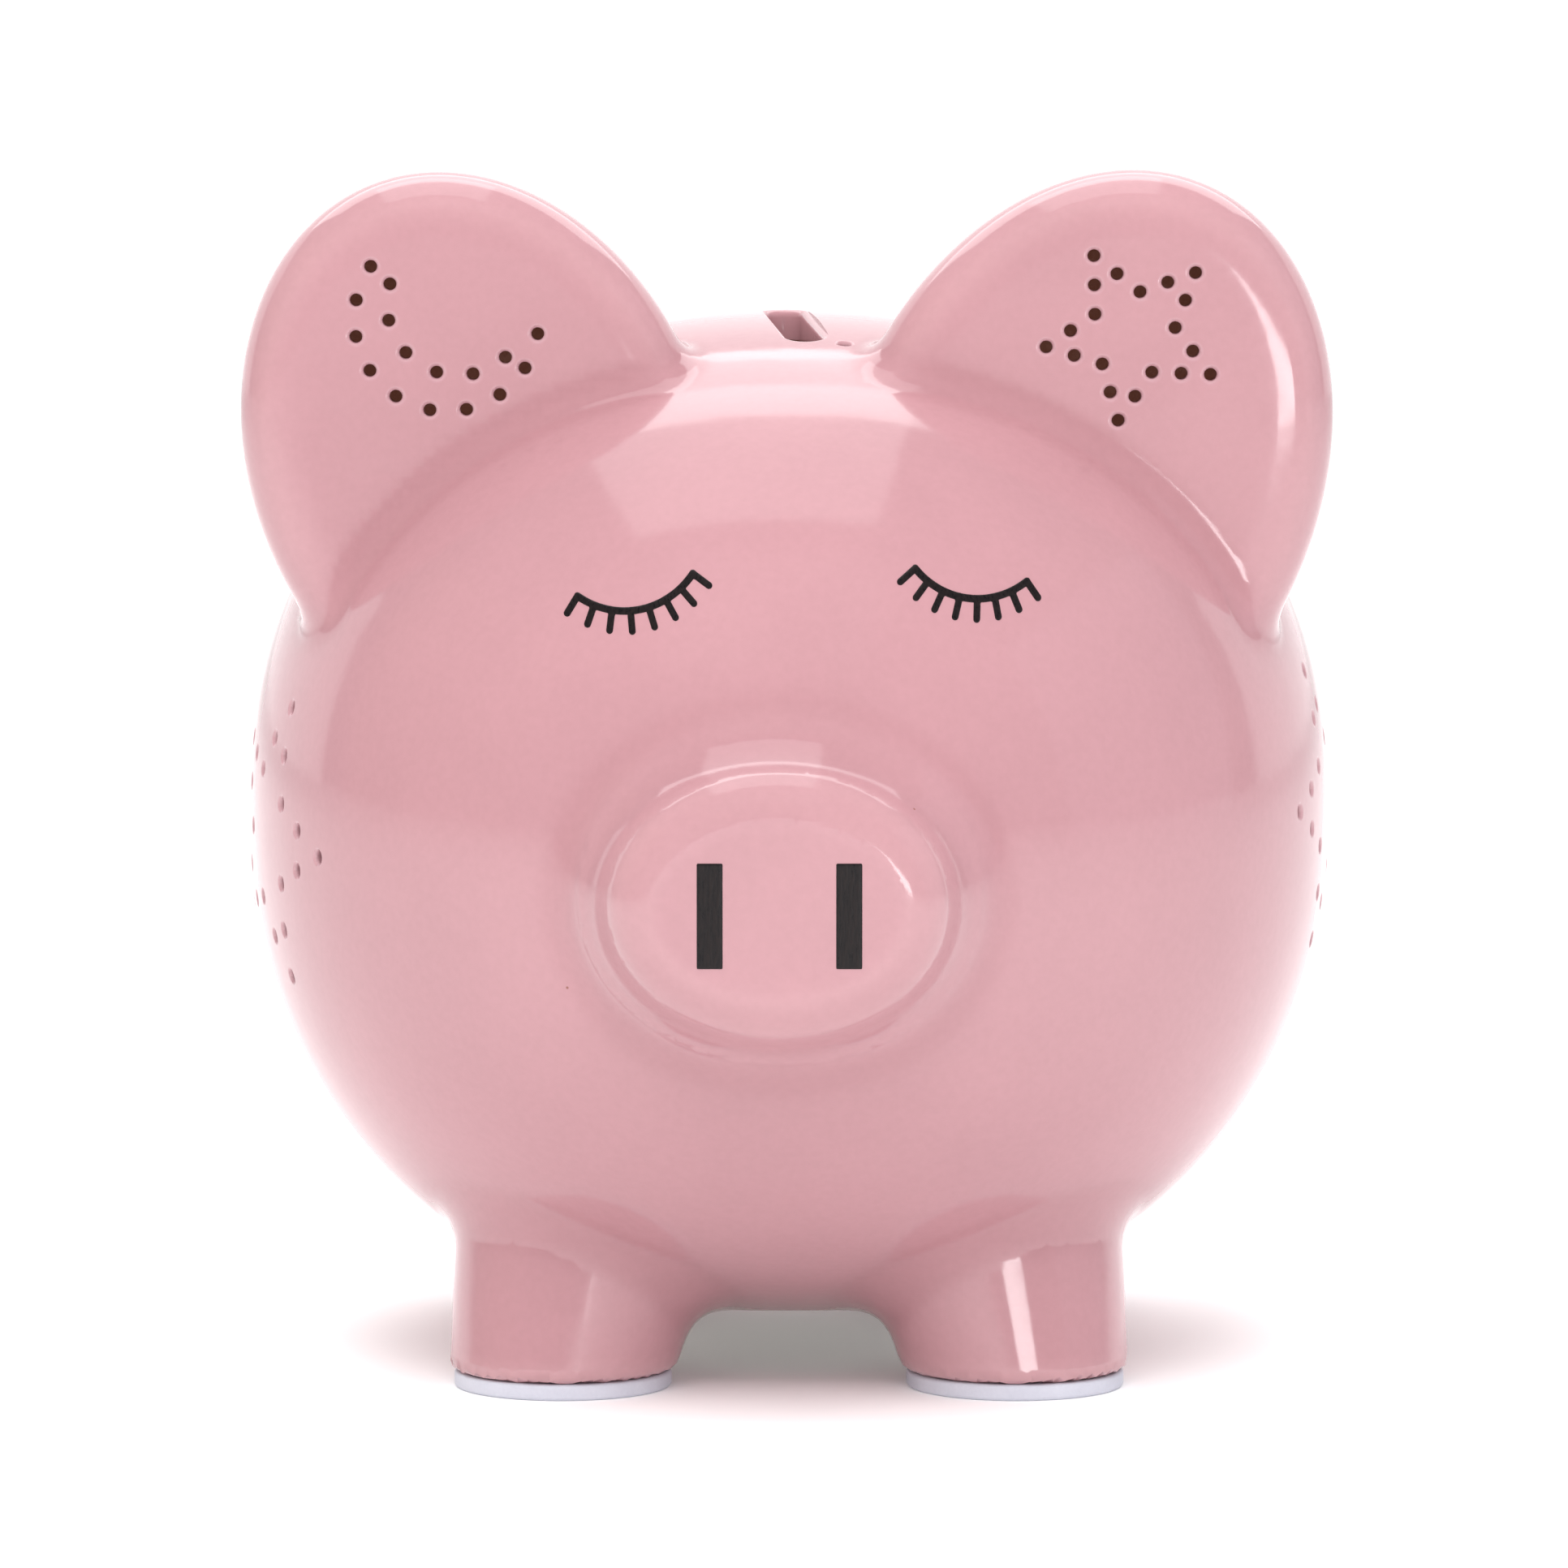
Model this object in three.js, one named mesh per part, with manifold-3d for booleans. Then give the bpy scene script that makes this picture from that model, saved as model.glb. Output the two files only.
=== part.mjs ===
// A slip-cast ceramic sleeping-pig coin bank that doubles as a night light.
// The pig faces -Y, +Z is up, and the origin is on the surface it stands on, below its middle.
// The glazed shell is hollow. A battery light unit plugs the round opening in the belly, holds the
// coins in, and shines through the moon and star perforations.
import * as THREE from "three";
import { mergeVertices } from "three/addons/utils/BufferGeometryUtils.js";
import Module from "manifold-3d";

// ---------- Driving dimensions, in millimetres and degrees ----------

// Ceramic shell: a superellipsoid, |x/a|^n + |y/b|^n + |z/c|^n = 1
const BODY_HALF_WIDTH = 83;
const BODY_HALF_LENGTH = 91;
const BODY_HALF_HEIGHT = 77;
const BODY_SQUARENESS = 2.2;
const WALL = 4.5;
const BELLY_CLEARANCE = 5.8;

// Ears: upright slabs with elliptical outlines and rounded rims
const EAR_THICKNESS = 20;
const EAR_RIM_RADIUS = 6;
const EAR_FRONT = 43; // the ears' front faces stand this far ahead of the body's middle
const LEFT_EAR = { x: -46.3, z: 56.5, halfWidth: 34.6, halfHeight: 44.6, lean: 21.6 };
const RIGHT_EAR = { x: 43.5, z: 53.3, halfWidth: 36.1, halfHeight: 48.6, lean: -23.1 };

// Snout: an oval barrel that flares into the face
const SNOUT_DROP = 3.7; // its middle lies this far below the body's middle
const SNOUT_SHIFT = -1.5; // and this far to one side
const SNOUT_OVALNESS = 1.36; // width over height
const SNOUT_FACE_HALF_HEIGHT = 15.6;
const SNOUT_BASE_HALF_HEIGHT = 23;
const SNOUT_REACH = 11; // how far its face stands ahead of the body
const SNOUT_FLARE_LENGTH = 8;
const SNOUT_EDGE_RADIUS = 4.5;

// Legs and their stick-on foot pads
const LEG_SPREAD = 34.1; // middle of a leg, sideways
const LEG_STRIDE = 42; // middle of a leg, lengthways
const LEG_RADIUS = 17.1;
const LEG_WAIST = 15.2;
const SOLE_EDGE = 1.6;
const PAD_RADIUS = 16.4;
const PAD_THICKNESS = 2.5;
const PAD_EDGE = 0.6;

// Curly tail
const TAIL_THICKNESS = 4.4;
const TAIL_REACH = 11; // how far it stands behind the body
const TAIL_RISE = 10; // its root lies this far above the body's middle
const TAIL_COIL_RADIUS = 5;
const TAIL_TURNS = 1.2;
const TAIL_TAPER = 0.25; // share of the coil's radius that it loses towards its tip

// Coin slot in the crown
const SLOT_WIDTH = 5.2;
const SLOT_LENGTH = 28;
const SLOT_TURN = 7.7; // turned a little about the vertical
const SLOT_X = 0.8;
const SLOT_Y = -14.5;

// Perforations
const HOLE_RADIUS = 1;
const DRILL_PAST = 1.5; // how far the drill runs past the wall at each end
const MOON = {
  outer: { x: -51.2, z: 78.2, radius: 13.8, from: 145, to: 351, count: 10 },
  inner: { x: -49.5, z: 80.4, radius: 10.6, from: 163, to: 312, count: 6 },
};
const EAR_STAR = { x: 51.4, z: 76, radius: 13.1, waist: 6.4, turn: 44.5 };
const LEFT_SIDE_STAR = { y: -31.4, z: -0.6, radius: 21.5, waist: 10.3, turn: 182.5 };
const RIGHT_SIDE_STAR = { y: -17, z: 3, radius: 21.5, waist: 10.3, turn: 178 };
const CROWN_VENT = { x: 8.4, y: -32 };
const EAR_VENT_TURN = 18; // round the left ear's rim from its top, outwards
const EAR_VENT_BACK = 9; // behind the ear's front face
const VENT_EXTRA = 1; // the vents meet the wall at a slant

// Belly opening and the light unit that plugs it
const BATTERY_COUNT = 2;
const BATTERY_DIAMETER = 10.5;
const BATTERY_LENGTH = 44.5; // its contact button included
const BUTTON_DIAMETER = 3.8;
const BUTTON_HEIGHT = 0.8;
const BATTERY_GAP = 0.6;
const BATTERY_EDGE = 0.6;
const BATTERY_SHOULDER = 1; // width of the bare rim inside the wrap's ends
const BATTERY_ROOM = 0.4; // above and below the batteries
const BAY_SIDE_ROOM = 0.2; // beside the outer batteries
const BAY_CORNER_ROOM = 0.5; // from the bay's corners to the housing's wall
const CONTACT_ROOM = 4.4; // springs and plates at the ends of the battery bay
const CONTACT_PLATE_THICKNESS = 0.5;
const CONTACT_PLATE_WIDTH = 8;
const BAY_END_CLEARANCE = 0.05; // behind the plates
const CONTACT_DIMPLE = { radius: 1.4, tip: 0.8, height: 0.15 };
const SPRING_WIRE = 0.5;
const SPRING_TURNS = 3;
const SPRING_BASE_RADIUS = 3.4;
const SPRING_TIP_RADIUS = 2.2;
const HOUSING_WALL = 1.6;
const BAY_WALL = 1.4;
const FLANGE_LAP = 2.4; // how far the flange laps the ceramic seat
const FLANGE_THICKNESS = 2.6;
const FLANGE_EDGE = 0.8;
const GRIP_RING_THICKNESS = 1.6;
const GRIP_RING_HEIGHT = 5.2;
const GRIP_LIPS = 3;
const GRIP_LIP_REACH = 0.5;
const RECESS_CLEARANCE = 0.5; // round the flange
const COLLAR_WIDTH = 5.5; // thickened ceramic round the opening
const COLLAR_HEIGHT = 4.5;
const DOOR_THICKNESS = 2.2;
const DOOR_LAP = 1.8;
const DOOR_LEDGE = 1.3; // plate above the door that it seats on
const DOOR_TONGUE_RADIUS = 3.6;
const DOOR_GRIP = { width: 1.2, length: 10, pitch: 3, depth: 0.5, count: 3 };
const DOOR_BOSS_RADIUS = 2.8;
const DOOR_BOSS_ROOM = 2.5; // past the screw's tip
const BOSS_ROOF = 1;
const DOOR_SCREW_ROOM = 0.9; // from its shank to the bay's wall
const DOOR_SCREW_SINK = 0.2; // below the door's face
const SCREW_HEAD_RADIUS = 2.2;
const SCREW_HEAD_HEIGHT = 1;
const SCREW_SHANK_RADIUS = 1;
const SCREW_HEAD_EDGE = 0.4;
const SCREW_TIP = 1;
const SCREW_CROSS = { reach: 1.32, width: 0.5, depth: 0.5 };
const DOOR_SCREW_LENGTH = 6;
const BOARD_SCREW_LENGTH = 4;
const TRAY_THICKNESS = 1.4;
const TRAY_BOSS_HEIGHT = 2.6;
const TRAY_BOSS_RADIUS = 2.6;
const BOARD_THICKNESS = 1.6;
const BOARD_RADIUS = 22.5;
const BOARD_SCREW_SPREAD = 17;
const HOUSING_RISE = 1.5; // the housing's rim above the board
const CHIP = { width: 6, length: 4.2, height: 1.5 };
const CAPACITOR = { radius: 2.5, height: 5.6, crimp: 1.6, crimpHeight: 0.4, crimpDepth: 0.3 };
const PART_SPREAD = 8; // chip and capacitor, past the ring of LEDs
const LED_COUNT = 3;
const LED_RADIUS = 2.5;
const LED_HEIGHT = 7.6;
const LED_SPREAD = 8;
const LED_LEAD_SPREAD = 1.27;
const LED_LEAD = 0.5;
const LED_FLANGE = { lap: 0.4, height: 1 };
const DOME_HEIGHT = 16;
const DOME_WALL = 1.6;
const DOME_LIP = { width: 1, depth: 1.2 };
const SWITCH = { width: 4.6, length: 9, height: 4 };
const KNOB = { width: 3, length: 2.4 };
const KNOB_TRAVEL = 3;
const KNOB_ROOM = 1.6; // depth of its way into the switch
const KNOB_REACH = 1.3; // how far it reaches into the switch
const KNOB_SINK = 0.4; // below the housing's underside
const KNOB_GROOVE = { pitch: 0.6, width: 0.24, depth: 0.3 };
const GAP = 0.3; // between pieces that touch
const OVERLAP = 0.5; // between solids that are joined
const PAST = 1; // how far a cut runs past what it cuts

// How finely round shapes are divided
const ROUND = 24;
const SMALL_ROUND = 10;
const HOLE_SIDES = 5;

// ---------- Sizes worked out from the driving dimensions ----------

const bodyZ = BELLY_CLEARANCE + BODY_HALF_HEIGHT;
const radians = THREE.MathUtils.degToRad;

// Height of the body's surface above its middle, over a point of the floor plan.
function bodyRise(x, y) {
  const n = BODY_SQUARENESS;
  const left = 1 - Math.abs(x / BODY_HALF_WIDTH) ** n - Math.abs(y / BODY_HALF_LENGTH) ** n;
  return BODY_HALF_HEIGHT * Math.max(left, 0) ** (1 / n);
}

// Half-width of the body at a point of its side view.
function bodySide(y, z) {
  const n = BODY_SQUARENESS;
  const left = 1 - Math.abs(y / BODY_HALF_LENGTH) ** n - Math.abs(z / BODY_HALF_HEIGHT) ** n;
  return BODY_HALF_WIDTH * Math.max(left, 0) ** (1 / n);
}

const batteryPitch = BATTERY_DIAMETER + BATTERY_GAP;
const bayHalfWidth = (batteryPitch * BATTERY_COUNT) / 2 + BAY_SIDE_ROOM;
const bayHalfLength = (BATTERY_LENGTH + CONTACT_ROOM) / 2;
const housingInner = Math.hypot(bayHalfWidth, bayHalfLength) + BAY_CORNER_ROOM;
const housingOuter = housingInner + HOUSING_WALL;
const ringInner = housingOuter + GAP;
const ringOuter = ringInner + GRIP_RING_THICKNESS;
const openingRadius = ringOuter + GAP;
const flangeRadius = openingRadius + FLANGE_LAP;
const recessRadius = flangeRadius + RECESS_CLEARANCE;

// The flange's underside is level with the belly at the edge of its recess.
const flangeBottom = bodyZ - bodyRise(Math.min(recessRadius, BODY_HALF_WIDTH / 2), 0);
const flangeTop = flangeBottom + FLANGE_THICKNESS;
const seatZ = flangeTop + GAP;
const plateTop = flangeBottom + DOOR_THICKNESS + GAP + DOOR_LEDGE;
const batteryZ = flangeBottom + DOOR_THICKNESS + BATTERY_ROOM + BATTERY_DIAMETER / 2;
const trayBottom = batteryZ + BATTERY_DIAMETER / 2 + BATTERY_ROOM;
const trayTop = trayBottom + TRAY_THICKNESS;
const boardBottom = trayTop + TRAY_BOSS_HEIGHT;
const boardTop = boardBottom + BOARD_THICKNESS;
const housingTop = boardTop + HOUSING_RISE;
const doorHalfWidth = bayHalfWidth + DOOR_LAP;
const doorHalfLength = bayHalfLength + DOOR_LAP;
const doorScrewY = bayHalfLength + BAY_WALL + SCREW_SHANK_RADIUS + DOOR_SCREW_ROOM;
const switchX = (bayHalfWidth + BAY_WALL + housingInner) / 2;
const shankHole = SCREW_SHANK_RADIUS + GAP;

// ---------- Solids ----------

const wasm = await Module();
wasm.setup();

// A closed geometry as a solid. A profile drawn the other way round is turned to face out.
function solid(geometry) {
  const bare = geometry.clone();
  bare.deleteAttribute("normal");
  bare.deleteAttribute("uv");
  const merged = mergeVertices(bare, 1e-4);
  const triVerts = new Uint32Array(merged.index.array);
  const make = () => new wasm.Manifold(
    new wasm.Mesh({ numProp: 3, vertProperties: merged.attributes.position.array, triVerts }),
  );
  const made = make();
  if (made.volume() > 0) return made;
  triVerts.reverse();
  return make();
}

function geometryOf(body) {
  const mesh = body.getMesh();
  const geometry = new THREE.BufferGeometry();
  geometry.setAttribute("position", new THREE.BufferAttribute(new Float32Array(mesh.vertProperties), 3));
  geometry.setIndex(new THREE.BufferAttribute(new Uint32Array(mesh.triVerts), 1));
  const facets = geometry.toNonIndexed();
  facets.computeVertexNormals();
  return facets;
}

const join = (solids) => solids.reduce((sum, next) => sum.add(next));

// A solid turned about the Z axis. The profile is a list of [radius, height].
function turned(profile, segments = ROUND) {
  const points = profile.map(([r, z]) => new THREE.Vector2(r, z));
  return new THREE.LatheGeometry(points, segments).rotateX(Math.PI / 2);
}

// A disc or tube with square edges, as a profile for turned().
function disc(radius, bottom, top) {
  return [[0, bottom], [radius, bottom], [radius, top], [0, top]];
}

function ring(inner, outer, bottom, top) {
  return [[inner, bottom], [outer, bottom], [outer, top], [inner, top], [inner, bottom]];
}

// A block between two corners.
function block(low, high) {
  const size = high.map((v, i) => v - low[i]);
  const middle = high.map((v, i) => (v + low[i]) / 2);
  return new THREE.BoxGeometry(...size).translate(...middle);
}

// A slot-shaped outline along Y, raised from bottom to top.
function stadium(width, length, bottom, top, steps = 6) {
  const r = width / 2;
  const reach = length / 2 - r;
  const shape = new THREE.Shape();
  shape.absarc(0, reach, r, 0, Math.PI, false);
  shape.absarc(0, -reach, r, Math.PI, 2 * Math.PI, false);
  shape.closePath();
  const options = { depth: top - bottom, bevelEnabled: false, curveSegments: steps };
  return new THREE.ExtrudeGeometry(shape, options).translate(0, 0, bottom);
}

// A round section swept along a curve.
function swept(curve, thickness, steps, sides) {
  const section = new THREE.Shape();
  for (let i = 0; i < sides; i++) {
    const turn = (2 * Math.PI * i) / sides;
    const x = (thickness / 2) * Math.cos(turn);
    const y = (thickness / 2) * Math.sin(turn);
    if (i === 0) section.moveTo(x, y);
    else section.lineTo(x, y);
  }
  section.closePath();
  return new THREE.ExtrudeGeometry(section, { steps, extrudePath: curve, bevelEnabled: false });
}

// ---------- Ceramic shell ----------

function superellipsoid(inset, across, down) {
  const half = [BODY_HALF_WIDTH, BODY_HALF_LENGTH, BODY_HALF_HEIGHT].map((size) => size - inset);
  const geometry = new THREE.SphereGeometry(1, across, down).rotateX(Math.PI / 2);
  const place = geometry.attributes.position;
  const point = new THREE.Vector3();
  for (let i = 0; i < place.count; i++) {
    point.fromBufferAttribute(place, i).normalize();
    const level = point.toArray().reduce((sum, v, k) => sum + Math.abs(v / half[k]) ** BODY_SQUARENESS, 0);
    point.multiplyScalar(level ** (-1 / BODY_SQUARENESS));
    place.setXYZ(i, point.x, point.y, point.z + bodyZ);
  }
  return solid(geometry);
}

function ear({ x, z, halfWidth, halfHeight, lean }, inset, steps) {
  const rim = Math.max(EAR_RIM_RADIUS - inset, 1);
  const outline = new THREE.Shape();
  const sizes = [halfWidth - inset, halfHeight - inset];
  outline.absellipse(x, bodyZ + z, ...sizes, 0, 2 * Math.PI, false, radians(lean));
  const options = {
    depth: EAR_THICKNESS - 2 * inset - 2 * rim,
    bevelThickness: rim,
    bevelSize: rim,
    bevelOffset: -rim,
    bevelSegments: inset ? 1 : 3,
    curveSegments: steps,
  };
  const slab = new THREE.ExtrudeGeometry(outline, options).rotateX(Math.PI / 2);
  return solid(slab.translate(0, EAR_THICKNESS - EAR_FRONT - inset - rim, 0));
}

function snout(inset, across) {
  const face = SNOUT_FACE_HALF_HEIGHT - inset;
  const edge = Math.max(SNOUT_EDGE_RADIUS - inset, 0.5);
  const tip = BODY_HALF_LENGTH + SNOUT_REACH - inset;
  const flare = SNOUT_BASE_HALF_HEIGHT - SNOUT_FACE_HALF_HEIGHT;
  const base = tip - edge - SNOUT_FLARE_LENGTH;
  const profile = [[0, BODY_HALF_LENGTH / 2], [face + flare, BODY_HALF_LENGTH / 2], [face + flare, base]];
  // The concave flare, then the rounded edge of the face.
  for (const turn of [30, 60, 90]) {
    const a = radians(turn);
    profile.push([face + flare * (1 - Math.sin(a)), base + SNOUT_FLARE_LENGTH * (1 - Math.cos(a))]);
  }
  for (const turn of [0, 30, 60, 90]) {
    const a = radians(turn);
    profile.push([face - edge + edge * Math.cos(a), tip - edge + edge * Math.sin(a)]);
  }
  profile.push([0, tip]);
  const barrel = turned(profile, across).scale(SNOUT_OVALNESS, 1, 1).rotateX(Math.PI / 2);
  return solid(barrel.translate(SNOUT_SHIFT, 0, bodyZ - SNOUT_DROP));
}

const legPlaces = [];
for (const [end, sideY] of [["front", -1], ["rear", 1]])
  for (const [side, sideX] of [["left", -1], ["right", 1]])
    legPlaces.push({ name: `${end}_${side}`, x: sideX * LEG_SPREAD, y: sideY * LEG_STRIDE });

// The height at which a leg meets the belly, over its middle.
const legTop = bodyZ - bodyRise(LEG_SPREAD, LEG_STRIDE);

function leg({ x, y }, inset, across) {
  const sole = PAD_THICKNESS + inset;
  const profile = [
    [0, sole],
    [LEG_RADIUS - inset - SOLE_EDGE, sole],
    [LEG_RADIUS - inset, sole + SOLE_EDGE],
    [LEG_WAIST - inset, legTop],
    [LEG_WAIST - inset + 1, legTop + LEG_WAIST],
    [0, legTop + LEG_WAIST],
  ];
  return solid(turned(profile, across).translate(x, y, 0));
}

function tail() {
  const rootZ = bodyZ + TAIL_RISE;
  const first = BODY_HALF_LENGTH + TAIL_THICKNESS / 2;
  const last = BODY_HALF_LENGTH + TAIL_REACH - TAIL_THICKNESS / 2;
  const points = [new THREE.Vector3(0, BODY_HALF_LENGTH - WALL, rootZ)];
  const steps = 12;
  for (let i = 0; i <= steps; i++) {
    const share = i / steps;
    const turn = 2 * Math.PI * TAIL_TURNS * share;
    const r = TAIL_COIL_RADIUS * (1 - TAIL_TAPER * share);
    const z = rootZ + TAIL_COIL_RADIUS - r * Math.cos(turn);
    points.push(new THREE.Vector3(r * Math.sin(turn), first + (last - first) * share, z));
  }
  return solid(swept(new THREE.CatmullRomCurve3(points), TAIL_THICKNESS, 26, 8));
}

// A hole drilled at a point, along a direction, through the depth behind it.
function drill(point, direction, depth) {
  const length = depth + 2 * DRILL_PAST;
  const bit = new THREE.CylinderGeometry(HOLE_RADIUS, HOLE_RADIUS, length, HOLE_SIDES);
  const along = new THREE.Vector3(...direction).normalize();
  const turn = new THREE.Quaternion().setFromUnitVectors(new THREE.Vector3(0, 1, 0), along);
  const middle = new THREE.Vector3(...point).addScaledVector(along, depth / 2);
  return solid(bit.applyQuaternion(turn).translate(...middle.toArray()));
}

// A five-pointed star of dots: its points, its waist and the middle of each edge between them.
function starDots(radius, waist, turn) {
  const corner = (k) => {
    const r = k % 2 === 0 ? radius : waist;
    const a = radians(turn + 36 * k);
    return [r * Math.cos(a), r * Math.sin(a)];
  };
  const dots = [];
  for (let k = 0; k < 10; k++) {
    const [a, b] = [corner(k), corner(k + 1)];
    dots.push(a, [(a[0] + b[0]) / 2, (a[1] + b[1]) / 2]);
  }
  return dots;
}

function arcDots({ x, z, radius, from, to, count }) {
  return Array.from({ length: count }, (_, i) => {
    const a = radians(from + ((to - from) * i) / (count - 1));
    return [x + radius * Math.cos(a), z + radius * Math.sin(a)];
  });
}

function earHoles() {
  const star = starDots(EAR_STAR.radius, EAR_STAR.waist, EAR_STAR.turn);
  const dots = [
    ...arcDots(MOON.outer),
    ...arcDots(MOON.inner),
    ...star.map(([x, z]) => [EAR_STAR.x + x, EAR_STAR.z + z]),
  ];
  return dots.map(([x, z]) => drill([x, -EAR_FRONT, bodyZ + z], [0, 1, 0], WALL));
}

function sideHoles(star, side) {
  const n = BODY_SQUARENESS;
  const slope = (v, half) => (Math.sign(v) * Math.abs(v / half) ** (n - 1)) / half;
  return starDots(star.radius, star.waist, star.turn).map(([dy, dz]) => {
    const y = star.y + dy;
    const z = star.z + dz;
    const x = side * bodySide(y, z);
    const inward = [-slope(x, BODY_HALF_WIDTH), -slope(y, BODY_HALF_LENGTH), -slope(z, BODY_HALF_HEIGHT)];
    return drill([x, y, bodyZ + z], inward, WALL);
  });
}

function vents() {
  const { x, z, halfWidth, halfHeight, lean } = LEFT_EAR;
  const a = radians(90 + EAR_VENT_TURN);
  const local = new THREE.Vector2(halfWidth * Math.cos(a), halfHeight * Math.sin(a));
  const rim = local.clone().rotateAround(new THREE.Vector2(), radians(lean));
  const crownZ = bodyZ + bodyRise(CROWN_VENT.x, CROWN_VENT.y);
  return [
    drill([x + rim.x, -EAR_FRONT + EAR_VENT_BACK, bodyZ + z + rim.y], [-rim.x, 0, -rim.y], WALL + VENT_EXTRA),
    drill([CROWN_VENT.x, CROWN_VENT.y, crownZ], [0, 0, -1], WALL + VENT_EXTRA),
  ];
}

function ceramicBody() {
  const outside = join([
    superellipsoid(0, 44, 24),
    ear(LEFT_EAR, 0, 16),
    ear(RIGHT_EAR, 0, 16),
    snout(0, 28),
    ...legPlaces.map((place) => leg(place, 0, 16)),
    tail(),
  ]);
  const hollow = join([
    superellipsoid(WALL, 24, 14),
    ear(LEFT_EAR, WALL, 8),
    ear(RIGHT_EAR, WALL, 8),
    snout(WALL, 14),
    ...legPlaces.map((place) => leg(place, WALL, 8)),
  ]);
  const collarTop = seatZ + COLLAR_HEIGHT;
  const collar = solid(turned(ring(openingRadius, openingRadius + COLLAR_WIDTH, seatZ, collarTop)));
  const opening = solid(turned(disc(openingRadius, 0, collarTop + PAST)));
  const recess = solid(turned(disc(recessRadius, 0, seatZ)));
  const slotFloor = bodyZ + BODY_HALF_HEIGHT / 2;
  const slot = stadium(SLOT_WIDTH, SLOT_LENGTH, slotFloor, bodyZ + BODY_HALF_HEIGHT + PAST)
    .rotateZ(radians(SLOT_TURN))
    .translate(SLOT_X, SLOT_Y, 0);
  const cuts = [
    opening,
    recess,
    solid(slot),
    ...earHoles(),
    ...sideHoles(LEFT_SIDE_STAR, -1),
    ...sideHoles(RIGHT_SIDE_STAR, 1),
    ...vents(),
  ];
  return outside.subtract(hollow).add(collar).subtract(join(cuts));
}

function footPad({ x, y }) {
  const profile = [
    [0, 0],
    [PAD_RADIUS - PAD_EDGE, 0],
    [PAD_RADIUS, PAD_EDGE],
    [PAD_RADIUS, PAD_THICKNESS],
    [0, PAD_THICKNESS],
  ];
  return solid(turned(profile, 20).translate(x, y, 0));
}

// ---------- Light unit ----------

function doorOutline(slack, bottom, top) {
  const plate = block(
    [-doorHalfWidth - slack, -doorHalfLength - slack, bottom],
    [doorHalfWidth + slack, doorHalfLength + slack, top],
  );
  const tongue = turned(disc(DOOR_TONGUE_RADIUS + slack, bottom, top), 20).translate(0, doorScrewY, 0);
  return solid(plate).add(solid(tongue));
}

function lightHousing() {
  const cup = solid(turned([
    [0, flangeBottom],
    [flangeRadius - FLANGE_EDGE, flangeBottom],
    [flangeRadius, flangeBottom + FLANGE_EDGE],
    [flangeRadius, flangeTop],
    [housingOuter, flangeTop],
    [housingOuter, housingTop],
    [housingInner, housingTop],
    [housingInner, plateTop],
    [0, plateTop],
  ], 32));
  const ribTop = trayBottom;
  const ribs = solid(block(
    [-bayHalfWidth - BAY_WALL, -bayHalfLength - BAY_WALL, plateTop - OVERLAP],
    [bayHalfWidth + BAY_WALL, bayHalfLength + BAY_WALL, ribTop],
  ));
  const within = solid(turned(disc(housingInner + HOUSING_WALL / 2, plateTop - PAST, ribTop + PAST), 32));
  const screwTop = flangeBottom + DOOR_SCREW_LENGTH + DOOR_BOSS_ROOM;
  const post = turned(disc(DOOR_BOSS_RADIUS, plateTop - OVERLAP, screwTop + BOSS_ROOF), 16);
  const boss = solid(post.translate(0, doorScrewY, 0));
  const bay = solid(block([-bayHalfWidth, -bayHalfLength, 0], [bayHalfWidth, bayHalfLength, ribTop + PAST]));
  const screwHole = solid(turned(disc(shankHole, 0, screwTop), SMALL_ROUND).translate(0, doorScrewY, 0));
  const knobWay = solid(block(
    [switchX - KNOB.width / 2 - GAP, -(KNOB_TRAVEL + KNOB.length) / 2 - GAP, 0],
    [switchX + KNOB.width / 2 + GAP, (KNOB_TRAVEL + KNOB.length) / 2 + GAP, plateTop + PAST],
  ));
  const doorSeat = doorOutline(GAP, 0, flangeBottom + DOOR_THICKNESS + GAP);
  return cup.add(ribs.add(boss).intersect(within)).subtract(join([bay, doorSeat, screwHole, knobWay]));
}

// A ring with three soft lips that grip the ceramic opening.
function gripRing() {
  const bottom = seatZ - GAP / 2;
  const profile = [[ringInner, bottom]];
  const valley = ringOuter - GRIP_LIP_REACH;
  for (let i = 0; i < GRIP_LIPS; i++) {
    const z = bottom + (GRIP_RING_HEIGHT * i) / GRIP_LIPS;
    profile.push([valley, z], [ringOuter, z + GRIP_RING_HEIGHT / GRIP_LIPS / 2]);
  }
  profile.push([valley, bottom + GRIP_RING_HEIGHT], [ringInner, bottom + GRIP_RING_HEIGHT]);
  profile.push([ringInner, bottom]);
  return solid(turned(profile, 28));
}

function diffuserDome() {
  const profile = [];
  const steps = 5;
  for (let i = 0; i <= steps; i++) {
    const a = (Math.PI / 2) * (i / steps);
    profile.push([housingOuter * Math.cos(a), housingTop + DOME_HEIGHT * Math.sin(a)]);
  }
  profile[steps][0] = 0;
  const inner = housingOuter - DOME_WALL;
  for (let i = 0; i < steps; i++) {
    const a = (Math.PI / 2) * (1 - i / steps);
    const r = i === 0 ? 0 : inner * Math.cos(a);
    profile.push([r, housingTop + (DOME_HEIGHT - DOME_WALL) * Math.sin(a)]);
  }
  const lip = housingInner - GAP;
  const lipBottom = housingTop - DOME_LIP.depth;
  profile.push([lip - DOME_LIP.width, housingTop], [lip - DOME_LIP.width, lipBottom]);
  profile.push([lip, lipBottom], [lip, housingTop]);
  profile.push([housingOuter, housingTop]);
  return solid(turned(profile, 28));
}

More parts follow.
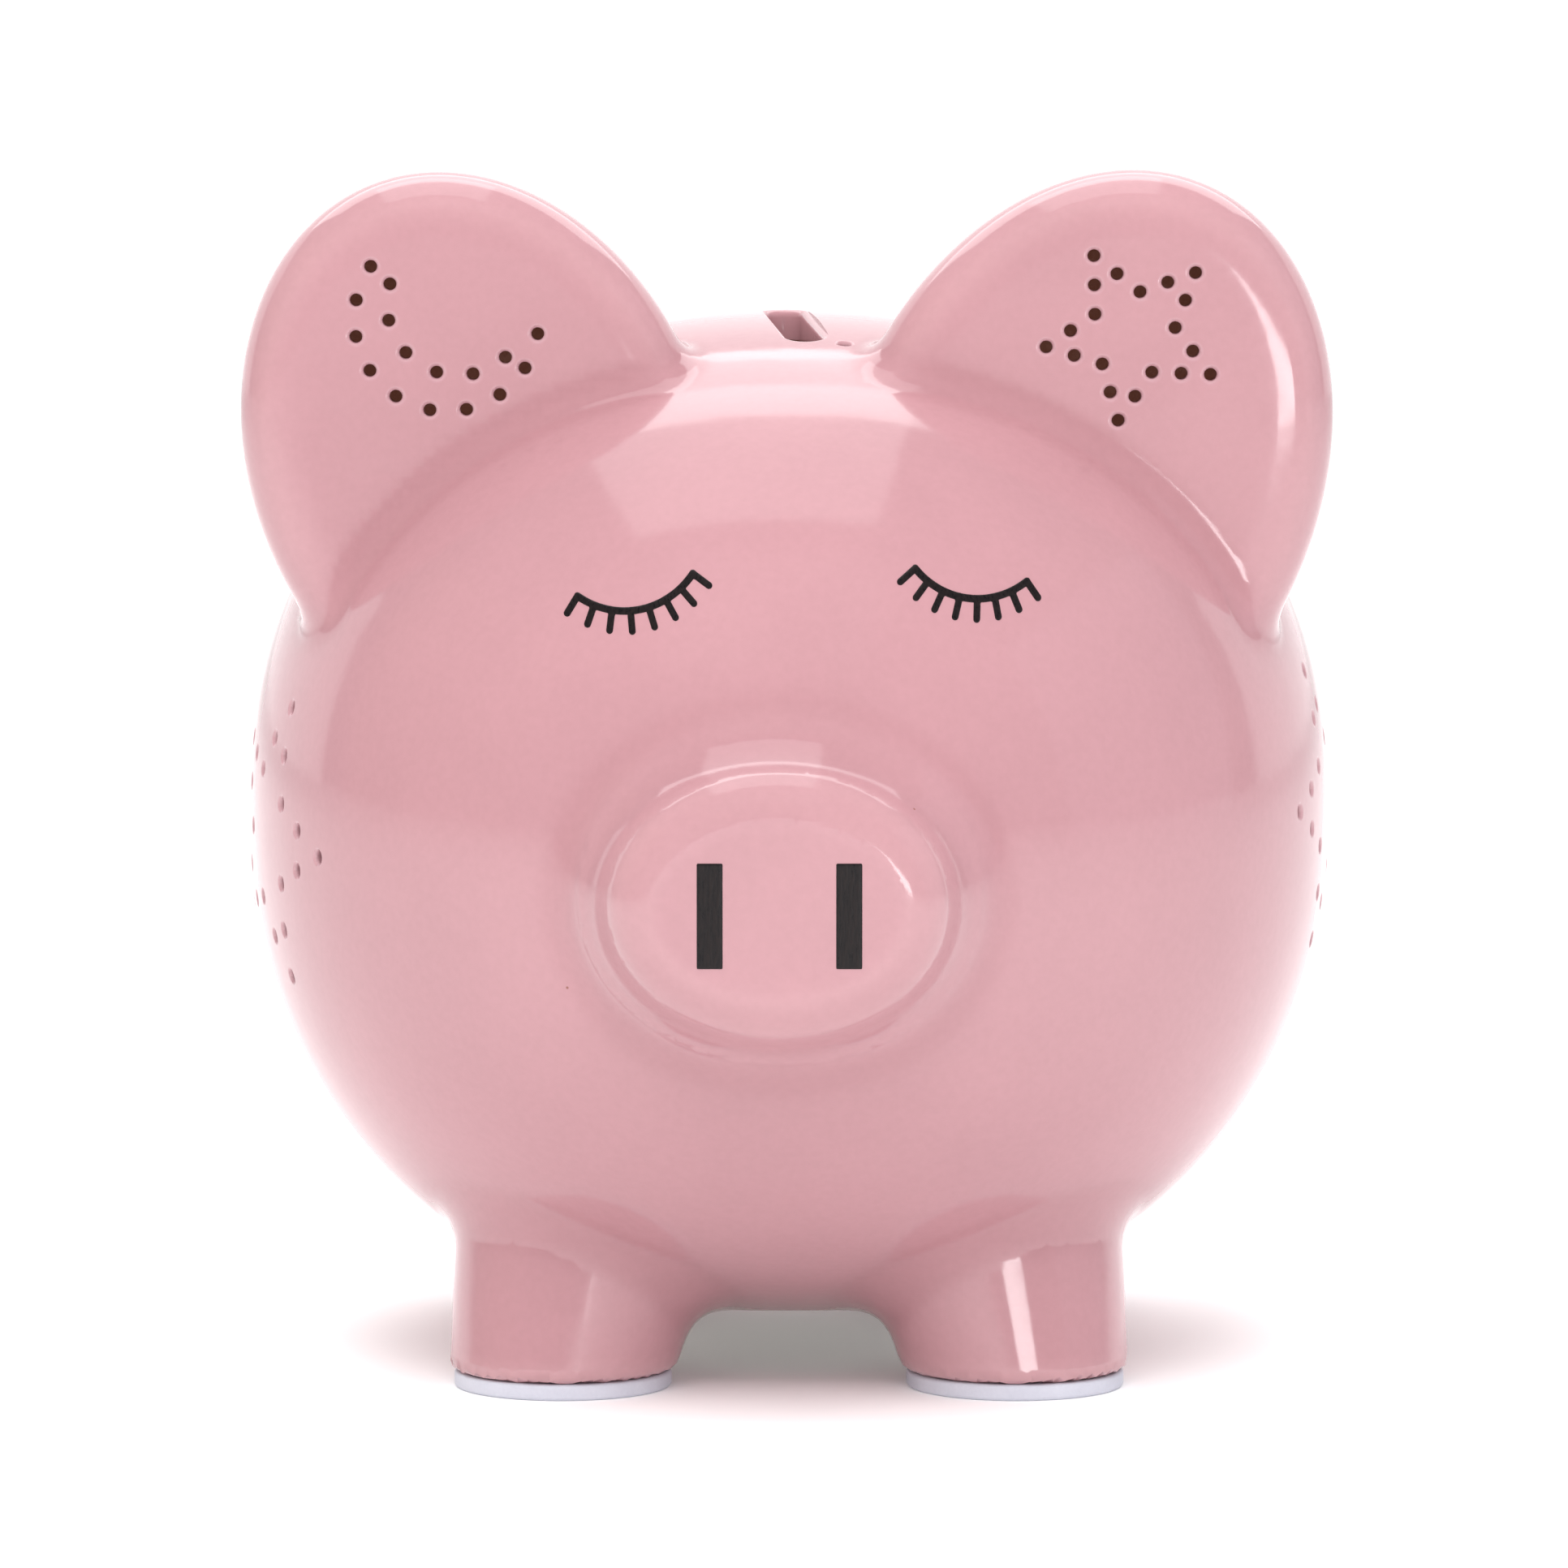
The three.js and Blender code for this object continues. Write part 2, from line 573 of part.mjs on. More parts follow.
function contactTray() {
  const plate = solid(turned(disc(housingInner - GAP, trayBottom, trayTop), 24));
  const bosses = [-1, 1].map((side) => {
    const post = turned(disc(TRAY_BOSS_RADIUS, trayTop - OVERLAP, boardBottom), 12);
    return solid(post.translate(side * BOARD_SCREW_SPREAD, 0, 0));
  });
  const holes = [-1, 1].map((side) => {
    const bore = turned(disc(shankHole, boardTop - BOARD_SCREW_LENGTH - GAP, boardTop), SMALL_ROUND);
    return solid(bore.translate(side * BOARD_SCREW_SPREAD, 0, 0));
  });
  return join([plate, ...bosses]).subtract(join(holes));
}

const ledPlaces = Array.from({ length: LED_COUNT }, (_, i) => {
  const a = (2 * Math.PI * i) / LED_COUNT + Math.PI / 2;
  return [LED_SPREAD * Math.cos(a), LED_SPREAD * Math.sin(a)];
});

function circuitBoard() {
  const plate = solid(turned(disc(BOARD_RADIUS, boardBottom, boardTop), 24));
  const holes = [-1, 1].map((side) => {
    const bore = turned(disc(shankHole, boardBottom - PAST, boardTop + PAST), SMALL_ROUND);
    return solid(bore.translate(side * BOARD_SCREW_SPREAD, 0, 0));
  });
  for (const [x, y] of ledPlaces)
    for (const side of [-1, 1]) {
      const bore = turned(disc(LED_LEAD / 2 + GAP, boardBottom - PAST, boardTop + PAST), 6);
      holes.push(solid(bore.translate(x + side * LED_LEAD_SPREAD, y, 0)));
    }
  return plate.subtract(join(holes));
}

function led([x, y]) {
  const foot = boardTop + GAP;
  const straight = LED_HEIGHT - LED_RADIUS;
  const rim = LED_RADIUS + LED_FLANGE.lap;
  const rimTop = foot + LED_FLANGE.height;
  const profile = [[0, foot], [rim, foot], [rim, rimTop], [LED_RADIUS, rimTop]];
  for (const turn of [0, 30, 60]) {
    const a = radians(turn);
    profile.push([LED_RADIUS * Math.cos(a), foot + straight + LED_RADIUS * Math.sin(a)]);
  }
  profile.push([0, foot + LED_HEIGHT]);
  const leads = [-1, 1].map((side) => {
    const middle = side * LED_LEAD_SPREAD;
    const half = LED_LEAD / 2;
    return solid(block([middle - half, -half, boardBottom - PAST], [middle + half, half, foot + OVERLAP]));
  });
  return join([solid(turned(profile, 12)), ...leads]).translate([x, y, 0]);
}

function timerChip() {
  const low = [-CHIP.width / 2, -LED_SPREAD - PART_SPREAD, boardTop];
  return solid(block(low, [low[0] + CHIP.width, low[1] + CHIP.length, low[2] + CHIP.height]));
}

function capacitor() {
  const { radius, height, crimp, crimpHeight, crimpDepth } = CAPACITOR;
  const profile = [
    [0, boardTop],
    [radius, boardTop],
    [radius, boardTop + crimp - crimpHeight],
    [radius - crimpDepth, boardTop + crimp],
    [radius, boardTop + crimp + crimpHeight],
    [radius, boardTop + height],
    [0, boardTop + height],
  ];
  return solid(turned(profile, 16).translate(0, LED_SPREAD + PART_SPREAD, 0));
}

// A pan-head screw, its head at z = 0 below its shank, with a cross recess.
function screw(length) {
  const profile = [
    [0, 0],
    [SCREW_HEAD_RADIUS - SCREW_HEAD_EDGE, 0],
    [SCREW_HEAD_RADIUS, SCREW_HEAD_HEIGHT / 2],
    [SCREW_HEAD_RADIUS, SCREW_HEAD_HEIGHT],
    [SCREW_SHANK_RADIUS, SCREW_HEAD_HEIGHT],
    [SCREW_SHANK_RADIUS, SCREW_HEAD_HEIGHT + length - SCREW_TIP],
    [0, SCREW_HEAD_HEIGHT + length],
  ];
  const { reach, width, depth } = SCREW_CROSS;
  const arm = block([-reach, -width / 2, -PAST], [reach, width / 2, depth]);
  const cross = solid(arm).add(solid(arm.clone().rotateZ(Math.PI / 2)));
  return solid(turned(profile, SMALL_ROUND)).subtract(cross);
}

// Batteries lie side by side along Y, turned end for end, so each has its button at the other end.
const batteryPlaces = Array.from({ length: BATTERY_COUNT }, (_, i) => ({
  x: (i - (BATTERY_COUNT - 1) / 2) * batteryPitch,
  way: i % 2 === 0 ? 1 : -1,
}));
const buttonTip = bayHalfLength - CONTACT_PLATE_THICKNESS - GAP;
const tailEnd = buttonTip - BATTERY_LENGTH;

// Lays a solid that was built along Z into the bay, with its +Z end towards the battery's button.
function layInBay(body, { x, way }) {
  return body.rotate([way > 0 ? -90 : 90, 0, 0]).translate([x, 0, batteryZ]);
}

function battery(place) {
  const r = BATTERY_DIAMETER / 2;
  const profile = [
    [0, tailEnd],
    [r - BATTERY_SHOULDER, tailEnd],
    [r, tailEnd + BATTERY_EDGE],
    [r, buttonTip - BUTTON_HEIGHT - BATTERY_EDGE],
    [r - BATTERY_SHOULDER, buttonTip - BUTTON_HEIGHT],
    [BUTTON_DIAMETER / 2, buttonTip - BUTTON_HEIGHT],
    [BUTTON_DIAMETER / 2, buttonTip],
    [0, buttonTip],
  ];
  return layInBay(solid(turned(profile, 16)), place);
}

function contactSpring(place) {
  const far = -bayHalfLength + GAP + SPRING_WIRE / 2;
  const near = tailEnd - GAP - SPRING_WIRE / 2;
  const points = [];
  const steps = SPRING_TURNS * 10;
  for (let i = 0; i <= steps; i++) {
    const a = (2 * Math.PI * SPRING_TURNS * i) / steps;
    const share = i / steps;
    const r = SPRING_BASE_RADIUS + (SPRING_TIP_RADIUS - SPRING_BASE_RADIUS) * share;
    points.push(new THREE.Vector3(r * Math.cos(a), r * Math.sin(a), far + (near - far) * share));
  }
  return layInBay(solid(swept(new THREE.CatmullRomCurve3(points), SPRING_WIRE, steps, 5)), place);
}

function contactPlate(place) {
  const half = CONTACT_PLATE_WIDTH / 2;
  const near = bayHalfLength - CONTACT_PLATE_THICKNESS;
  const face = block([-half, -half, near], [half, half, bayHalfLength - BAY_END_CLEARANCE]);
  const { radius, tip, height } = CONTACT_DIMPLE;
  const dimple = turned([[0, 0.1], [radius, 0.1], [tip, -height], [0, -height]], SMALL_ROUND);
  dimple.translate(0, 0, near);
  return layInBay(solid(face).add(solid(dimple)), place);
}

function batteryDoor() {
  const plate = doorOutline(0, flangeBottom, flangeBottom + DOOR_THICKNESS);
  const sink = SCREW_HEAD_HEIGHT + DOOR_SCREW_SINK;
  const counterbore = turned(disc(SCREW_HEAD_RADIUS + GAP, 0, flangeBottom + sink), 16);
  const hole = turned(disc(shankHole, 0, flangeBottom + DOOR_THICKNESS + PAST), SMALL_ROUND);
  const { width, length, pitch, depth, count } = DOOR_GRIP;
  const grip = stadium(width, length, flangeBottom - PAST, flangeBottom + depth, 3).rotateZ(Math.PI / 2);
  const grips = Array.from({ length: count }, (_, i) => {
    const y = pitch * (i - (count - 1) / 2) - doorHalfLength / 2;
    return solid(grip.clone().translate(0, y, 0));
  });
  const holes = [counterbore, hole].map((bore) => solid(bore.translate(0, doorScrewY, 0)));
  return plate.subtract(join([...holes, ...grips]));
}

function switchBody() {
  const foot = plateTop + GAP;
  const { width, length, height } = SWITCH;
  const wayX = KNOB.width / 2 + GAP;
  const wayY = (KNOB_TRAVEL + KNOB.length) / 2 + GAP;
  const can = solid(block([-width / 2, -length / 2, foot], [width / 2, length / 2, foot + height]));
  const way = solid(block([-wayX, -wayY, foot - PAST], [wayX, wayY, foot + KNOB_ROOM]));
  return can.subtract(way).translate([switchX, 0, 0]);
}

function switchKnob() {
  const bottom = flangeBottom + KNOB_SINK;
  const top = plateTop + GAP + KNOB_REACH;
  const stem = block([-KNOB.width / 2, -KNOB.length / 2, bottom], [KNOB.width / 2, KNOB.length / 2, top]);
  const { pitch, width, depth } = KNOB_GROOVE;
  const grooves = [-pitch, 0, pitch].map((y) => {
    const low = [-KNOB.width, y - width / 2, bottom - PAST];
    return solid(block(low, [KNOB.width, y + width / 2, bottom + depth]));
  });
  return solid(stem).subtract(join(grooves)).translate([switchX, -KNOB_TRAVEL / 2, 0]);
}

// ---------- Materials and the assembly ----------

function finish(color, roughness, metalness = 0) {
  return new THREE.MeshStandardMaterial({ color, roughness, metalness });
}

const pinkGlaze = finish("#e3b0b8", 0.12);
const padRubber = finish("#c4c0cb", 0.9);
const whitePlastic = finish("#e9e7e2", 0.45);
const greySilicone = finish("#a9a7ab", 0.6);
const frosted = finish("#f6f2ea", 0.5);
const boardGreen = finish("#2f6b45", 0.5);
const ledLens = finish("#f4ecd0", 0.2);
const blackPlastic = finish("#26262a", 0.5);
const alloy = finish("#b9bcc0", 0.3, 1);
const steel = finish("#9da0a3", 0.35, 1);
const batteryWrap = finish("#3c6f8f", 0.35);
const spring = finish("#c3c5c8", 0.3, 1);

const pig = new THREE.Group();

function add(name, body, material, parent = pig) {
  const mesh = new THREE.Mesh(geometryOf(body), material);
  mesh.name = name;
  parent.add(mesh);
  return mesh;
}

add("ceramic_body", ceramicBody(), pinkGlaze);
for (const place of legPlaces) add(`foot_pad_${place.name}`, footPad(place), padRubber);

const lightUnit = new THREE.Group();
pig.add(lightUnit);
add("light_housing", lightHousing(), whitePlastic, lightUnit);
add("grip_ring", gripRing(), greySilicone, lightUnit);
add("diffuser_dome", diffuserDome(), frosted, lightUnit);
add("contact_tray", contactTray(), whitePlastic, lightUnit);
add("circuit_board", circuitBoard(), boardGreen, lightUnit);
ledPlaces.forEach((place, i) => add(`led_${i + 1}`, led(place), ledLens, lightUnit));
add("timer_chip", timerChip(), blackPlastic, lightUnit);
add("capacitor", capacitor(), alloy, lightUnit);
batteryPlaces.forEach((place, i) => {
  add(`battery_${i + 1}`, battery(place), batteryWrap, lightUnit);
  add(`contact_spring_${i + 1}`, contactSpring(place), spring, lightUnit);
  add(`contact_plate_${i + 1}`, contactPlate(place), spring, lightUnit);
});
add("switch_body", switchBody(), blackPlastic, lightUnit);
add("switch_knob", switchKnob(), blackPlastic, lightUnit);

// The board's screws point down into the tray's posts.
for (const [i, side] of [-1, 1].entries()) {
  const fastener = add(`board_screw_${i + 1}`, screw(BOARD_SCREW_LENGTH - GAP), steel, lightUnit);
  fastener.rotation.x = Math.PI;
  fastener.position.set(side * BOARD_SCREW_SPREAD, 0, boardTop + SCREW_HEAD_HEIGHT);
}

add("battery_door", batteryDoor(), whitePlastic, lightUnit);
const doorScrew = add("door_screw", screw(DOOR_SCREW_LENGTH), steel, lightUnit);
doorScrew.position.set(0, doorScrewY, flangeBottom + DOOR_SCREW_SINK / 2);

export default pig;
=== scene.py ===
"""Figural coin bank: a sleeping pig in pink glazed earthenware that doubles as a night light.

The shell's skin is the zero level of a distance formula in millimetres, meshed by a net of cells.
The pig faces -Y, +Z is up, and the floor is z = 0.
"""

import math

import bpy
import numpy as np
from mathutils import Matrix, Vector


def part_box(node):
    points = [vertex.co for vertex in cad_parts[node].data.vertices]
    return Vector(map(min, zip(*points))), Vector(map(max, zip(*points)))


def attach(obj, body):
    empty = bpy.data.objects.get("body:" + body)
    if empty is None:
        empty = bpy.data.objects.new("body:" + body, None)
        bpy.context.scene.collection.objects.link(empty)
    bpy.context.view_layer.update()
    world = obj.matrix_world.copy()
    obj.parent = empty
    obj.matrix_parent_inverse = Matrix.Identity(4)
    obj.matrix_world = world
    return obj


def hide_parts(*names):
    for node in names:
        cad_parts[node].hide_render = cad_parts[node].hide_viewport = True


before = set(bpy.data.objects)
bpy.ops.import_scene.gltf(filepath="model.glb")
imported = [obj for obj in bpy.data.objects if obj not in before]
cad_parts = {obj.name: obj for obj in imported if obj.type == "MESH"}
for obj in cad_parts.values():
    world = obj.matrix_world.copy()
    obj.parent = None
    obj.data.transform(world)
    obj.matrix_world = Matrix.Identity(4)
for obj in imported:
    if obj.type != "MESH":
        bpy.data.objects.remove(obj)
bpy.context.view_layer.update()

MM = 0.001

# ---------- Sizes of the ceramic shell, in millimetres and degrees ----------

BODY_HALF = np.array([83.0, 91.0, 77.0])
BODY_SQUARENESS = 2.2
BELLY_CLEARANCE = 5.8
WALL = 4.5
BODY_MIDDLE = np.array([0.0, 0.0, BELLY_CLEARANCE + BODY_HALF[2]])

EAR_THICKNESS = 20.0
EAR_RIM = 10.0  # radius of the puffed rim, half the ear's thickness
EAR_TRIM = 1.1  # how much of the puffed front the flat face takes off
EAR_TRIM_EDGE = 1.6
EAR_FRONT = 43.0  # the ears' front faces stand this far ahead of the body's middle
EAR_FILLET = 3.6
EARS = (
    {"x": -46.3, "z": 56.5, "width": 34.6, "height": 44.6, "lean": 21.6},
    {"x": 43.5, "z": 53.3, "width": 36.1, "height": 48.6, "lean": -23.1},
)

SNOUT_X = -1.5
SNOUT_Z = -3.7
SNOUT_WIDTH = 22.9  # half-width of its face
SNOUT_HEIGHT = 17.7  # half-height of its face
SNOUT_REACH = 11.0
SNOUT_EDGE = 4.5
SNOUT_FLARE = 4.6  # how much wider and taller it is at its root, on each side
SNOUT_FILLET = 6.5

LEG_X = 34.1
LEG_Y = 42.0
LEG_RADIUS = 17.1
LEG_TOP_RADIUS = 20.3
LEG_SPLAY = 6.4  # how far the leg's top leans in over its sole
LEG_TOP = 24.0
LEG_FILLET = 8.0  # inside the legs; outside them it is tighter
LEG_FILLET_OUTSIDE = 3.5
SOLE_EDGE = 1.5
PAD_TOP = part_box("foot_pad_front_left")[1].z / MM

TAIL_THICKNESS = 4.4
TAIL_REACH = 11.0
TAIL_RISE = 10.0
TAIL_COIL = 5.0
TAIL_TURNS = 1.2
TAIL_TAPER = 0.25
TAIL_FILLET = 3.0

SLOT_WIDTH = 5.2
SLOT_LENGTH = 28.0
SLOT_TURN = 7.7
SLOT_MIDDLE = (0.8, -14.5)
SLOT_LIP = 1.1

HOLE_RADIUS = 0.95
HOLE_LIP = 0.75
HOLE_DEPTH = WALL + 2
MOON = (
    {"x": -51.2, "z": 78.2, "radius": 13.8, "start": 145, "end": 351, "count": 10},
    {"x": -49.5, "z": 80.4, "radius": 10.6, "start": 163, "end": 312, "count": 6},
)
EAR_STAR = {"x": 51.4, "z": 76.0, "radius": 13.1, "waist": 6.4, "turn": 44.5}
SIDE_STARS = (
    {"side": -1, "y": -31.4, "z": -0.6, "radius": 21.5, "waist": 10.3, "turn": 182.5},
    {"side": 1, "y": -17.0, "z": 3.0, "radius": 21.5, "waist": 10.3, "turn": 178.0},
)
CROWN_VENT = (8.4, -30.0)
EAR_VENT_TURN = 18.0
EAR_VENT_BACK = 9.0

OPENING_RADIUS = 31.23
RECESS_RADIUS = 34.13
SEAT_Z = 13.86
COLLAR_RADIUS = 36.7
COLLAR_TOP = 18.36
RECESS_DRAFT_TOP = 11.5  # the recess widens downwards from here
CUT_FROM = -5.0  # cuts from below start under the floor

SKIN_CELL = 1.6
HOLLOW_CELL = 3.1
HOLLOW_SLACK = 0.2  # faces within this of the wall's full depth belong to the hollow

PAINT_PROUD = 0.12  # thickness of the painted features
LID_STROKE = 1.05
LASH_STROKE = 1.0
EYES = (
    {"x": -24.45, "z": 50.25, "radius": 12.57, "start": -31.8, "end": 55.3, "tip": 15.45},
    {"x": 27.98, "z": 51.61, "radius": 12.32, "start": -50.3, "end": 34.6, "tip": 15.18},
)
EYE_REACH = 17  # what is meshed round an eye's middle, sideways and down
EYE_CLEAR = 3  # and how far below its middle that starts
LASHES = 8
NOSTRILS = ((-13.4, -9.65), (6.82, 10.59))
NOSTRIL_LOW, NOSTRIL_HIGH = -12.34, 3.04

# ---------- Distance formulas: negative inside, millimetres from the skin outside ----------


def smooth_join(a, b, reach):
    """The union of two shapes, with a concave fillet that starts this far from their crease."""
    share = np.clip(0.5 + 0.5 * (b - a) / reach, 0, 1)
    return b + (a - b) * share - reach * share * (1 - share)


def rounded_slab(across, along, edge):
    """A shape from its outline's distance and its thickness's distance, with a rounded edge."""
    a, b = across + edge, along + edge
    return np.hypot(np.maximum(a, 0), np.maximum(b, 0)) + np.minimum(np.maximum(a, b), 0) - edge


def ellipse_distance(x, z, width, height):
    near = np.hypot(x / width, z / height)
    slope = np.hypot(x / width**2, z / height**2)
    return near * (near - 1) / np.maximum(slope, 1e-6)


def body_distance(q):
    n = BODY_SQUARENESS
    share = np.abs(q / BODY_HALF)
    level = np.maximum((share**n).sum(1), 1e-9)
    slope = np.sqrt(((share ** (n - 1) / BODY_HALF) ** 2).sum(1)) * level ** (1 / n - 1)
    return (level ** (1 / n) - 1) / np.maximum(slope, 1e-6)


def ear_distance(q, ear):
    lean = math.radians(ear["lean"])
    x, z = q[:, 0] - ear["x"], q[:, 2] - ear["z"]
    across = x * math.cos(lean) + z * math.sin(lean)
    up = z * math.cos(lean) - x * math.sin(lean)
    outline = ellipse_distance(across, up, ear["width"], ear["height"])
    middle = EAR_TRIM + EAR_FRONT - EAR_THICKNESS / 2
    puffed = rounded_slab(outline, np.abs(q[:, 1] + middle) - EAR_THICKNESS / 2, EAR_RIM)
    return -smooth_join(-puffed, q[:, 1] + EAR_FRONT, EAR_TRIM_EDGE)


def snout_distance(q):
    outline = ellipse_distance(q[:, 0] - SNOUT_X, q[:, 2] - SNOUT_Z, SNOUT_WIDTH, SNOUT_HEIGHT)
    behind = q[:, 1] + BODY_HALF[1] + SNOUT_REACH
    flared = outline - SNOUT_FLARE * np.clip(behind / SNOUT_REACH, 0, 1.2)
    return rounded_slab(flared, np.maximum(-behind, q[:, 1] + BODY_HALF[1] / 2), SNOUT_EDGE)


def leg_distance(p, x, y):
    share = np.clip((p[:, 2] - PAD_TOP) / (LEG_TOP - PAD_TOP), 0, 1)
    radius = LEG_RADIUS + (LEG_TOP_RADIUS - LEG_RADIUS) * share
    lean = 1 - LEG_SPLAY * share / math.hypot(x, y)
    outline = np.hypot(p[:, 0] - x * lean, p[:, 1] - y * lean) - radius
    height = np.maximum(PAD_TOP - p[:, 2], p[:, 2] - 2 * LEG_TOP)
    return rounded_slab(outline, height, SOLE_EDGE)


def tail_points(steps=28):
    """The middle line of the curly tail, from inside the wall to its tip."""
    first = BODY_HALF[1] + TAIL_THICKNESS / 2
    last = BODY_HALF[1] + TAIL_REACH - TAIL_THICKNESS / 2
    share = np.linspace(0, 1, steps)
    turn = 2 * math.pi * TAIL_TURNS * share
    radius = TAIL_COIL * (1 - TAIL_TAPER * share)
    height = TAIL_RISE + TAIL_COIL - radius * np.cos(turn)
    coil = np.stack([radius * np.sin(turn), first + (last - first) * share, height], 1)
    return np.vstack([[0, BODY_HALF[1] - WALL, TAIL_RISE], coil])


def tail_distance(q):
    nearest = np.full(len(q), np.inf)
    line = tail_points()
    for start, end in zip(line[:-1], line[1:]):
        step = end - start
        share = np.clip((q - start) @ step / (step @ step), 0, 1)
        away = np.linalg.norm(q - start - share[:, None] * step, axis=1)
        nearest = np.minimum(nearest, away)
    return nearest - TAIL_THICKNESS / 2


LEG_PLACES = [(x, y) for y in (-LEG_Y, LEG_Y) for x in (-LEG_X, LEG_X)]


def skin_distance(p, with_tail=True):
    q = p - BODY_MIDDLE
    d = body_distance(q)
    for ear in EARS:
        d = smooth_join(d, ear_distance(q, ear), EAR_FILLET)
    d = smooth_join(d, snout_distance(q), SNOUT_FILLET)
    past_legs = np.hypot(p[:, 0], p[:, 1]) - math.hypot(LEG_X, LEG_Y)
    outward = np.clip(0.5 + past_legs / (2 * LEG_RADIUS), 0, 1)
    fillet = LEG_FILLET + (LEG_FILLET_OUTSIDE - LEG_FILLET) * outward
    for x, y in LEG_PLACES:
        d = smooth_join(d, leg_distance(p, x, y), fillet)
    rear = q[:, 1] > BODY_HALF[1] - 3 * WALL
    if with_tail and rear.any():
        d[rear] = smooth_join(d[rear], tail_distance(q[rear]), TAIL_FILLET)
    return d


def hollow_distance(p):
    """The slip-cast hollow: the skin moved in by the wall, less the collar round the opening."""
    inner = skin_distance(p, with_tail=False) + WALL
    collar = rounded_slab(np.hypot(p[:, 0], p[:, 1]) - COLLAR_RADIUS, p[:, 2] - COLLAR_TOP, 1.0)
    return -smooth_join(-inner, collar, 3.0)


def slope_of(distance, points, step=0.05):
    slope = np.empty_like(points)
    for axis in range(3):
        shift = np.zeros(3)
        shift[axis] = step
        slope[:, axis] = (distance(points + shift) - distance(points - shift)) / (2 * step)
    return slope


def normals_of(distance, points):
    slope = slope_of(distance, points)
    return slope / np.maximum(np.linalg.norm(slope, axis=1, keepdims=True), 1e-9)


def settle(distance, points, rounds=2):
    """Moves points along the slope onto the skin."""
    for _ in range(rounds):
        slope = slope_of(distance, points)
        size = np.maximum((slope**2).sum(1), 1e-4)
        points = points - slope * (distance(points) / size)[:, None]
    return points


# ---------- Meshing ----------


def net(distance, low, high, cell, relax=3):
    """Meshes a distance formula's zero level: one point in each cell that it crosses, and a
    quadrilateral round each grid edge that it crosses. The points are spread and settled on it."""
    axes = [np.arange(a, b + cell, cell) for a, b in zip(low, high)]
    grid = np.stack(np.meshgrid(*axes, indexing="ij"), -1)
    value = np.concatenate([distance(layer.reshape(-1, 3)) for layer in grid])
    inside = value.reshape(grid.shape[:3]) < 0
    wide, deep, tall = (size - 1 for size in inside.shape)
    count = sum(
        inside[i : i + wide, j : j + deep, k : k + tall].astype(int)
        for i in (0, 1)
        for j in (0, 1)
        for k in (0, 1)
    )
    crossed = (count > 0) & (count < 8)
    number = np.full(crossed.shape, -1)
    number[crossed] = np.arange(crossed.sum())
    points = grid[:-1, :-1, :-1][crossed] + cell / 2
    quads = []
    for axis in range(3):
        across, along = np.eye(3, dtype=int)[(axis + 1) % 3], np.eye(3, dtype=int)[(axis + 2) % 3]
        lower = inside.take(range(inside.shape[axis] - 1), axis)
        upper = inside.take(range(1, inside.shape[axis]), axis)
        at = np.argwhere(lower != upper)
        around = np.stack([at - across - along, at - along, at, at - across], 1)
        quad = number[around[..., 0], around[..., 1], around[..., 2]]
        backward = upper[tuple(at.T)]
        quad[backward] = quad[backward][:, ::-1]
        quads.append(quad)
    quads = np.concatenate(quads)
    points = settle(distance, points)
    for _ in range(relax):
        total = np.zeros_like(points)
        weight = np.zeros(len(points))
        for k in range(4):
            for step in (1, 3):
                np.add.at(total, quads[:, k], points[quads[:, (k + step) % 4]])
                np.add.at(weight, quads[:, k], 1)
        points = settle(distance, 0.4 * points + 0.6 * total / weight[:, None], 1)
    return settle(distance, points, 1), quads


def piece(name, points, faces, smooth=True):
    """A mesh object from points in millimetres."""
    mesh = bpy.data.meshes.new(name)
    mesh.from_pydata((np.asarray(points) * MM).tolist(), [], [list(map(int, f)) for f in faces])
    mesh.shade_smooth() if smooth else mesh.shade_flat()
    obj = bpy.data.objects.new(name, mesh)
    bpy.context.scene.collection.objects.link(obj)
    return obj


def points_of(mesh):
    place = np.empty(len(mesh.vertices) * 3)
    mesh.vertices.foreach_get("co", place)
    return place.reshape(-1, 3)


def made_plain(obj):
    """Applies an object's modifiers and removes them."""
    depsgraph = bpy.context.evaluated_depsgraph_get()
    mesh = bpy.data.meshes.new_from_object(obj.evaluated_get(depsgraph))
    obj.modifiers.clear()
    obj.data = mesh
    return obj


def discard(obj):
    bpy.data.objects.remove(obj, do_unlink=True)


def ring_solid(rings):
    """A closed solid through rings of equally many points, the first and last ones capped."""
    count = len(rings[0])
    points = np.concatenate(rings)
    faces = [list(range(count))[::-1]]
    for i in range(len(rings) - 1):
        for k in range(count):
            a, b = i * count + k, i * count + (k + 1) % count
            faces.append([a, b, b + count, a + count])
    last = (len(rings) - 1) * count
    faces.append(list(range(last, last + count)))
    return points, faces


def turned(profile, sides=96):
    """A solid turned about the Z axis. The profile is a list of (radius, height), upwards."""
    turn = 2 * math.pi * np.arange(sides) / sides
    return ring_solid([
        np.stack([r * np.cos(turn), r * np.sin(turn), np.full(sides, z)], 1) for r, z in profile
    ])


# ---------- Nodes ----------


def add(tree, kind, links=None, **settings):
    """Adds a node. links gives an input's name or number a socket or a value."""
    node = tree.nodes.new(kind)
    for name, value in settings.items():
        setattr(node, name, value)
    for key, value in (links or {}).items():
        if isinstance(value, bpy.types.NodeSocket):
            tree.links.new(value, node.inputs[key])
        else:
            node.inputs[key].default_value = value
    return node


def linear(colour):
    """An sRGB hex colour as linear light."""
    parts = [int(colour[i : i + 2], 16) / 255 for i in (1, 3, 5)]
    return (*[c / 12.92 if c <= 0.04045 else ((c + 0.055) / 1.055) ** 2.4 for c in parts], 1.0)


